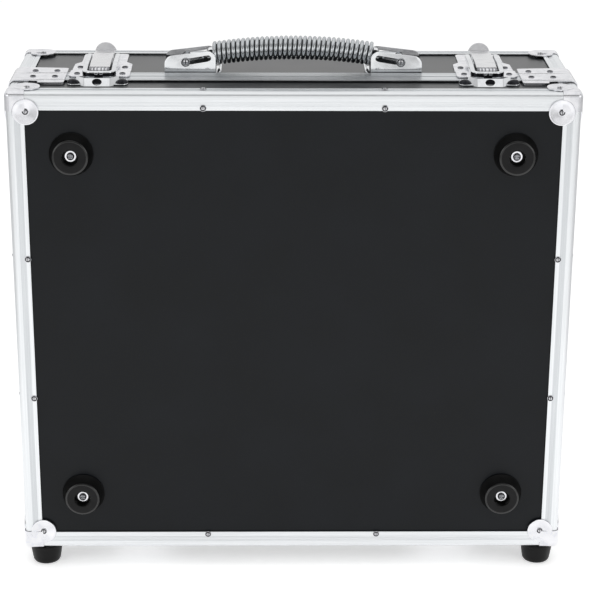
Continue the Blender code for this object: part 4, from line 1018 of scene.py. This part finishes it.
def latch_lever():
    """The lever: a bent plate with folded sides and barrel knuckles, stepped down to a thumb tab."""
    block((-LEVER_HALF, LEVER_START, LEVER_FLAT - 0.0011), (LEVER_HALF, LEVER_END, LEVER_FLAT))
    slice_depths(LEVER_CUTS)
    move_points(lambda place: place.y < 0.0570, (0, 0, -0.0012))
    move_points(lambda place: 0.1006 < place.y < 0.1010, (0, 0, -0.0011))
    move_points(lambda place: place.y > 0.1012, (0, 0, -0.0015))
    plate = soften(0.0002)
    tab = lathe(TAB_PROFILE, 64, (0, LEVER_END, LEVER_FLAT - 0.0043), (0, -1, 0))
    edit()
    slice_at((0, 0, LEVER_FLAT - 0.0020), (0, 0, -1), clear=True)
    done()

    # Painted shadow: the foot of the step is given the dark grey steel, so the step reads as a dark line
    # from the front
    def behind_step(middle, normal):
        return 0.1003 < middle.y < 0.1042 and normal.z > 0.2

    coat(plate, BRUSHED, (PAINTED_SHADE_GREY, behind_step))
    coat(tab, SATIN_AND_PAINTED_LIGHT)
    low, high = (0.0071, 0.0735, LEVER_FLAT - 0.0044), (LEVER_HALF, 0.0985, LEVER_FLAT - 0.0006)
    flange = rounded_block(low, high, 0.0003, 2, NICKEL)
    knuckle = coat(lathe(KNUCKLE_PROFILE, 32, PIVOT + Vector((0.0006, 0, 0)), (1, 0, 0)), RIVET_RIM)
    # The pin is painted near black as painted shade
    pin = coat(lathe([(0.0015, -0.0090), (0.0015, 0.0090)], 24, PIVOT, (1, 0, 0)), PAINTED_DARK)
    return join([plate, tab, flange, knuckle, pin, sided_copy(flange), sided_copy(knuckle)])


def latch_bail():
    """The hook: two arms beside the lever, a hollow bar round its front, and a tongue for the keeper."""
    low, front, back = BAIL_LOW, BAIL_FRONT, BAIL_BACK
    block((0, front, low), (BAIL_OUTER, back, BAIL_HIGH))
    slice_at((BAIL_INNER, 0, 0), (1, 0, 0))
    clear_faces(lambda middle, normal: normal.x < -0.9 and middle.x < NEAR)
    pick_faces(lambda middle, normal: normal.y > 0.9 and middle.x > BAIL_INNER)
    for run, rise in BAIL_ARM:
        pull((0, run, rise))
    bpy.ops.mesh.select_all(action="SELECT")
    bpy.ops.mesh.dissolve_limited(angle_limit=math.radians(1))
    for x, y, radius in (
        (BAIL_OUTER, front, 0.0078),
        (BAIL_INNER, back, 0.0036),
        (BAIL_OUTER, BAIL_END, 0.0019),
        (BAIL_INNER, BAIL_END, 0.0019),
    ):
        round_edges(
            lambda a, b: max(abs(a.x - b.x), abs(a.y - b.y), abs(a.x - x), abs(a.y - y)) < NEAR,
            radius,
            6,
        )
    soften(0.0009, 3, math.radians(40))
    edit()
    pick_faces(
        lambda middle, normal: normal.y < -0.35 and abs(normal.z) < 0.05 and middle.y < back + 0.0010
    )
    bpy.ops.mesh.inset(thickness=0.0003, use_even_offset=True, use_boundary=False)
    pull((0, 0.0020, 0))
    bail = finish_with("MIRROR", use_axis=(True, False, False), merge_threshold=0.00005)

    def in_hollow(middle, normal):
        return normal.y < -0.3 and abs(normal.z) < 0.1 and front + 0.0010 < middle.y < back + 0.0030

    # Painted shade: the hollow in the bar's front is painted near black
    coat(bail, NICKEL, (PAINTED_DARK, in_hollow))
    tongue = rounded_block((-0.0035, 0.0326, low), (0.0035, 0.0458, low + 0.0012), 0.0003, 2, NICKEL)
    lug = rounded_block((0.0005, 0.0431, 0.3986), (0.0036, 0.0455, 0.4007), 0.0006, 3, NICKEL)
    return join([bail, tongue, lug, sided_copy(lug)])


def latch_keeper():
    """The catch on the tray: a leaning wall with slant corners and a hole, between two domed ears."""
    front, back, floor = KEEPER_FRONT, KEEPER_BACK, KEEPER_FLOOR
    block((-0.0170, front, floor), (0.0170, back, floor + 0.0060))
    clear_faces(lambda middle, normal: abs(normal.z) > 0.9 or normal.y > 0.9)
    round_edges(lambda a, b: abs(a.z - b.z) > 0.001 and max(a.y, b.y) < front + NEAR, 0.0068, 1)
    upper = floor + 0.0059
    move_points(lambda place: place.z > upper and place.y < back - NEAR, (0, 0.0040, 0))
    move_points(lambda place: place.z > upper and place.y > back - NEAR, (0, 0, -0.0042))
    face_outward()
    wall = thicken(0.0011)
    hole_height = floor + 0.0030
    tool = lathe([(0.0037, 0.0), (0.0037, 0.0120)], 40, (0, front + 0.0080, hole_height), (0, -1, 0))
    edit()
    bpy.ops.mesh.select_all(action="SELECT")
    bpy.ops.transform.resize(value=(1, 1, 0.62), center_override=(0, front, hole_height))
    done()
    cut_out(wall, tool)
    soften(0.00035)
    # Painted shade: the wall's back faces are painted near black
    coat(wall, NICKEL, (PAINTED_DARK, lambda middle, normal: normal.y > 0.3))
    block((-0.0243, back - 0.0105, floor), (0.0243, back, floor + 0.0012))
    round_edges(lambda a, b: abs(a.z - b.z) > 0.001, 0.0048, 8)
    base = coat(soften(0.0004), NICKEL)
    ear_foot, ear_front = floor + 0.0008, back - 0.0068
    ear = coat(lathe(EAR_PROFILE, 32, (0.0197, back - 0.0053, ear_foot)), NICKEL)
    # Painted reflection: the front of each domed ear is painted near black, a dark reflection
    edit()
    slice_at((0, ear_front, ear_foot), (0, -1, 0.5))
    done()
    give(ear, PAINTED_DARK, lambda middle, normal: middle.y - ear_front < 0.5 * (middle.z - ear_foot))
    # Painted shade: a near-black block inside the keeper stands where its inside is in shade
    low, high = (-0.0092, 0.0298, floor + 0.0002), (0.0092, 0.0314, floor + 0.0050)
    shade_block = rounded_block(low, high, 0.0003, 2, PAINTED_DARK)
    return join([wall, base, shade_block, ear, sided_copy(ear)])


def add_latches():
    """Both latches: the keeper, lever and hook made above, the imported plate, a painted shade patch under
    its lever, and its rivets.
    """
    made = (
        ("latch_keeper", "formed", latch_keeper(), "tray", "zinc_steel"),
        ("latch_lever", "brushed", latch_lever(), "lever_{}", "chrome"),
        ("latch_hook", "bent", latch_bail(), "hook_{}", "chrome"),
    )
    for side, sign in SIDES:
        x = sign * LATCH_X
        node = f"latch_plate_{side}"
        plate = worked_copy(node, 0.0004, 3)
        hand_over(plate, f"pressed_{node}", ZINC, "lid", [node], in_case=False, flat=True)
        for part, finish, piece, body, slot in made:
            copy = placed_copy(piece, Matrix.Translation((x, 0, 0)))
            node = f"{part}_{side}"
            hand_over(copy, f"{finish}_{node}", None, body.format(side), [node], flat=True)
        # Painted shade: a near-black patch on the plate under the lever, so the gaps beside the lever look
        # dark
        low = (x - SHADE_PATCH_HALF, SHADE_PATCH_START, PLATE_TOP - 0.0006)
        high = (x + SHADE_PATCH_HALF, SHADE_PATCH_END, PLATE_TOP + 0.0002)
        shade_patch = rounded_block(low, high, 0.0001, 1, PAINTED_DARK)
        hand_over(shade_patch, f"latch_shade_patch_{side}", None, "lid")
        places = [
            ((x + away * LATCH_RIVET_SPREAD, depth, z), (0, 0, 1))
            for away in (-1, 1)
            for depth, z in LATCH_RIVETS
        ]
        row_of(TUBE_RIVET, places, f"latch_rivets_{side}", "lid")
    drop(*[row[2] for row in made])


add_latches()


# Handle

HANDLE_DEPTH = 0.0785
GRIP_HALF_LENGTH = 0.0645
GRIP_RISE = 0.0050
GRIP_CENTRE = Vector((0, HANDLE_DEPTH, 0.4131))
GRIP_BEND = (GRIP_HALF_LENGTH**2 + GRIP_RISE**2) / (2 * GRIP_RISE)
SPRING_TURNS = 34
TURN_POINTS = 30
WIRE_RADIUS = 0.00165
COIL_RADIUS = 0.0081


def grip_point(along, across, angle):
    """A point round the bent grip: a share of its half length, a distance off its line, and an angle."""
    bend = along * math.asin(GRIP_HALF_LENGTH / GRIP_BEND)
    outward = Vector((math.sin(bend), 0, math.cos(bend)))
    line = GRIP_CENTRE + (outward - Vector((0, 0, 1))) * GRIP_BEND
    return line + across * (math.cos(angle) * outward + math.sin(angle) * Vector((0, 1, 0)))


def add_spring():
    """The wire wound over the bent grip."""
    count = SPRING_TURNS * TURN_POINTS
    points = [
        grip_point(2 * i / count - 1, COIL_RADIUS, math.pi + math.tau * SPRING_TURNS * i / count)
        for i in range(count + 1)
    ]
    leave()
    curve = bpy.data.curves.new("spring", "CURVE")
    curve.dimensions = "3D"
    curve.bevel_depth = WIRE_RADIUS
    curve.bevel_resolution = 5
    curve.use_fill_caps = True
    spline = curve.splines.new("POLY")
    spline.points.add(count)
    for target, point in zip(spline.points, points):
        target.co = (*point, 1)
    spring = bpy.data.objects.new("spring", curve)
    bpy.context.scene.collection.objects.link(spring)
    take(spring)
    bpy.ops.object.convert(target="MESH")
    hand_over(
        bpy.context.object,
        "wound_spring",
        WIRE,
        "grip",
        ["handle_spring"],
        smooth=math.radians(60),
    )


BRACKET_FLOOR = 0.3936
BRACKET_IN, BRACKET_CHEEK, BRACKET_OUT = 0.0594, 0.0628, 0.1040
BRACKET_HALF = 0.0128
BRACKET_LEAN = math.radians(5)
LEAN_START, LEAN_STEP, LEAN_RISE = BRACKET_FLOOR + 0.0042, 0.0025, 0.0150
SHADE_LINE = BRACKET_FLOOR + 0.0105
STRAP_PIN = Vector((0.0870, HANDLE_DEPTH, 0.4039))
SLOT_FALL = math.atan(0.164)
SLOT_RUN, SLOT_HALF, PIN_HOLE = 0.0183, 0.0025, 0.00375
TOOL_REACH = 0.0140
PIN_HEAD_AWAY, PIN_HEAD_SCALE = 0.0120, (1.28, 1.28, 1.1, 1)


def bracket_cheek():
    """One side of the right bracket: a leaning plate with a keyhole, its foot rolled under."""
    near, floor = HANDLE_DEPTH - BRACKET_HALF, BRACKET_FLOOR
    block((BRACKET_CHEEK, near, floor), (BRACKET_OUT, near + 0.0012, floor + 0.0192))
    outer = BRACKET_OUT - NEAR
    move_points(lambda place: place.x > outer and place.z > floor + 0.0190, (0, 0, -0.0050))
    for x, radius in ((BRACKET_CHEEK, 0.0070), (BRACKET_OUT, 0.0055)):
        round_edges(
            lambda a, b: max(abs(a.x - x), abs(b.x - x)) < NEAR and min(a.z, b.z) > floor + 0.010,
            radius,
            10,
        )
    for cut in (0.0012, 0.0026, 0.0042):
        slice_at((0, 0, floor + cut), (0, 0, 1))
    move_points(lambda place: place.z < floor + NEAR, (0, 0.0011, 0))
    move_points(lambda place: floor + 0.0010 < place.z < floor + 0.0014, (0, 0.0003, 0))
    # The plate leans by moving each level of it back in step with its height
    for level in range(6):
        rise = level * LEAN_STEP
        back = min(LEAN_STEP, LEAN_RISE - rise) * math.tan(BRACKET_LEAN)
        move_points(lambda place: place.z > LEAN_START + rise + NEAR, (0, back, 0))
    cheek = finish_with("TRIANGULATE")
    slope = Matrix.Rotation(SLOT_FALL, 4, "Y")
    pin_end = STRAP_PIN - Vector((0, 0, 0.0003))
    block((-SLOT_RUN, -TOOL_REACH, -SLOT_HALF), (0, 0.0, SLOT_HALF))
    straight = done()
    tools = [placed_copy(straight, Matrix.Translation(pin_end) @ slope)]
    drop(straight)
    far_end = pin_end + slope @ Vector((-SLOT_RUN, 0, 0))
    for end, radius in ((far_end, SLOT_HALF), (pin_end, PIN_HOLE)):
        tools.append(lathe([(radius, 0.0), (radius, TOOL_REACH)], 32, end, (0, -1, 0)))
    cut_out(cheek, *tools)
    soften(0.00035, 3)
    # Painted shade: the inner face is given the dark grey steel, where the bracket's inside is in shade
    return coat(cheek, CHROME, (PAINTED_SHADE_GREY, lambda middle, normal: normal.y > 0.5))


def bracket_base():
    """The bracket's floor, with its inner end curled up."""
    start, floor = BRACKET_IN + 0.0024, BRACKET_FLOOR
    low = (start, HANDLE_DEPTH - BRACKET_HALF, floor)
    block(low, (BRACKET_OUT, HANDLE_DEPTH + BRACKET_HALF, floor + 0.0013))
    pick_faces(lambda middle, normal: normal.x < -0.9)
    centre = (start, HANDLE_DEPTH, floor + 0.0037)
    bpy.ops.mesh.spin(steps=6, angle=math.radians(-80), center=centre, axis=(0, 1, 0))
    face_outward()
    return coat(soften(0.0003), CHROME)


def add_handle():
    """The two brackets, the ends of the strap with the heads of their pins, and the round core."""
    near = bracket_cheek()
    far = placed_copy(
        near,
        Matrix.Translation((0, HANDLE_DEPTH, 0))
        @ Matrix.Diagonal((1, -1, 1, 1))
        @ Matrix.Translation((0, -HANDLE_DEPTH, 0)),
    )
    # Painted light: the upper part of the far side's inner face, where it catches the light over the strap,
    # is given the light satin; below it the painted shade stays
    take(far)
    edit()
    slice_at((0, 0, SHADE_LINE), (0, 0, 1))
    done()
    give(far, SATIN_AND_PAINTED_LIGHT, lambda middle, normal: normal.y < -0.5 and middle.z > SHADE_LINE)
    bracket = join([near, far, bracket_base()])
    pin_heads = []
    for away in (-1, 1):
        place = STRAP_PIN + Vector((0, away * PIN_HEAD_AWAY, 0))
        turn = upright_turn((0, away, 0)) @ Matrix.Diagonal(PIN_HEAD_SCALE)
        pin_heads.append(placed_copy(DOME_RIVET, Matrix.Translation(place) @ turn))
    heads = join(pin_heads)
    for side, sign in SIDES:
        strap = f"strap_{side}"
        node = f"handle_bracket_{side}"
        hand_over(sided_copy(bracket, sign), f"folded_{node}", None, "lid", [node], flat=True)
        node = f"handle_strap_end_{side}"
        copy = worked_copy(node, 0.0003, 3)
        hand_over(copy, f"finished_{node}", CHROME, strap, [node], in_case=False, flat=True)
        hand_over(sided_copy(heads, sign), f"strap_pin_heads_{side}", None, strap)
    drop(bracket, heads)
    core = frame["nodes"]["handle_core"]
    core.data.materials.clear()
    core.data.materials.append(PVC_AND_SEAM_SHADE)


add_spring()
add_handle()


# Room, lamps and camera

FLOOR_SIZE = 40
FLOOR_LIFT = 0.5
SWEEP_HALF, SWEEP_END = 0.42, 0.9
DIM_FRONT = 0.3
ROOM_BACK = 0.9
ROOM_LIGHT = 0.6
# Each wall of the room: the axis of the view, where it fades in from and to, and how bright it is
ROOM_WALLS = (("Y", -0.5, 0.3, ROOM_BACK), ("Z", 0.33, 0.2, 1.0), ("Z", 0.6, 0.8, 1.0))
# Each lamp: its name, place, size, power in watts, and whether metal mirrors it
LAMPS = (
    ("top_softbox", (0, -0.2, 1.8), (1.6, 1.2), 7, False),
    ("left_softbox", (-1.5, -1.5, 0.9), (0.8, 1.6), 3.5, True),
    ("right_softbox", (1.5, -1.5, 0.9), (0.8, 1.6), 3.5, True),
)
LAMP_AIM = Vector((0, 0, 0.2))
CAMERA_PLACE = (-0.018824, -1.526835, 0.779615)
CAMERA_TURN = (69.875062, -0.271867, -0.696722)
CAMERA_LENS, SENSOR_WIDTH = 117.0274, 36


def add_room():
    """A pale floor that the camera sees as white and that metal mirrors as a bright sweep."""
    leave()
    bpy.ops.mesh.primitive_plane_add(size=FLOOR_SIZE, location=(0, 0, 0))
    floor = bpy.context.object
    floor.name = "pale_floor"
    material, node, place = new_material(
        "pale_floor", Base_Color=colour("#f2f2f2"), Roughness=0.9, Specular_IOR_Level=0.0
    )
    rays = node("LightPath")
    across = node("SeparateXYZ", "X", {"Vector": place})
    aside = node("Math", "Value", {0: across}, operation="ABSOLUTE")
    # Metal mirrors a bright sweep in front of the case that falls off to both sides
    fall = {"Value": aside, "From Min": SWEEP_HALF, "From Max": SWEEP_END, "To Min": 1.0, "To Max": 0.0}
    sweep = node("MapRange", "Result", fall, interpolation_type="SMOOTHSTEP")
    mirrored = node("Math", "Value", {0: rays["Is Glossy Ray"], 1: sweep}, operation="MULTIPLY")
    seen = node("Math", "Value", {0: rays["Is Camera Ray"], 1: mirrored}, operation="MAXIMUM")
    seen = node("Math", "Value", {0: seen, 1: rays["Is Transmission Ray"]}, operation="MAXIMUM")
    lift = node("Math", "Value", {0: seen, 1: FLOOR_LIFT}, operation="MULTIPLY")
    glow = node("Emission", "Emission", {"Color": (1, 1, 1, 1), "Strength": lift})
    nodes = material.node_tree.nodes
    both = node("AddShader", "Shader", {0: nodes["Principled BSDF"].outputs["BSDF"], 1: glow})
    material.node_tree.links.new(both, nodes["Material Output"].inputs["Surface"])
    floor.data.materials.append(material)


def add_world():
    """A white room with a dim front wall above the floor, so that bright metal has something to show."""
    world = bpy.data.worlds.new("soft_room")
    bpy.context.scene.world = world
    world.use_nodes = True
    node = partial(add_node, world.node_tree)
    parts = node("SeparateXYZ", None, {"Vector": node("TexCoord", "Generated")})
    walls = []
    for axis, start, end, full in ROOM_WALLS:
        fade = {"Value": parts[axis], "From Min": start, "From Max": end}
        fade |= {"To Min": DIM_FRONT, "To Max": full}
        walls.append(node("MapRange", "Result", fade, interpolation_type="SMOOTHSTEP"))
    behind, below, above = walls
    room = node("Math", "Value", {0: behind, 1: above}, operation="MAXIMUM")
    front = node("Math", "Value", {0: parts["Y"], 1: 0.0}, operation="LESS_THAN")
    cove = node("Math", "Value", {0: front, 1: below}, operation="MULTIPLY")
    room = node("Math", "Value", {0: room, 1: cove}, operation="MAXIMUM")
    rays = node("LightPath")
    mirrored = node("Math", "Value", {0: rays["Is Glossy Ray"], 1: room}, operation="MULTIPLY")
    direct = {0: rays["Is Camera Ray"], 1: rays["Is Transmission Ray"]}
    plain = node("Math", "Value", direct, operation="MAXIMUM")
    soft = node("Math", "Value", {0: rays["Is Diffuse Ray"], 1: ROOM_LIGHT}, operation="MULTIPLY")
    strength = node("Math", "Value", {0: mirrored, 1: plain}, operation="MAXIMUM")
    strength = node("Math", "Value", {0: strength, 1: soft}, operation="MAXIMUM")
    back = world.node_tree.nodes["Background"]
    back.inputs["Color"].default_value = (1, 1, 1, 1)
    world.node_tree.links.new(strength, back.inputs["Strength"])


def add_lamps():
    """Three soft boxes aimed at the case."""
    for name, place, size, power, mirrored in LAMPS:
        leave()
        bpy.ops.object.light_add(type="AREA", location=place)
        lamp = bpy.context.object
        lamp.name = name
        lamp.data.shape = "RECTANGLE"
        lamp.data.size, lamp.data.size_y = size
        lamp.data.energy = power
        lamp.visible_glossy = mirrored
        lamp.rotation_euler = (LAMP_AIM - Vector(place)).to_track_quat("-Z", "Y").to_euler()


def add_camera():
    """The camera that was fitted to the photo."""
    data = bpy.data.cameras.new("camera")
    data.lens = CAMERA_LENS
    data.sensor_width = SENSOR_WIDTH
    camera = bpy.data.objects.new("camera", data)
    bpy.context.scene.collection.objects.link(camera)
    camera.location = CAMERA_PLACE
    camera.rotation_euler = [math.radians(angle) for angle in CAMERA_TURN]
    bpy.context.scene.camera = camera


add_room()
add_world()
add_lamps()
add_camera()
bpy.context.scene.view_settings.view_transform = "Standard"

drop(DOME_RIVET, TUBE_RIVET)
leave()
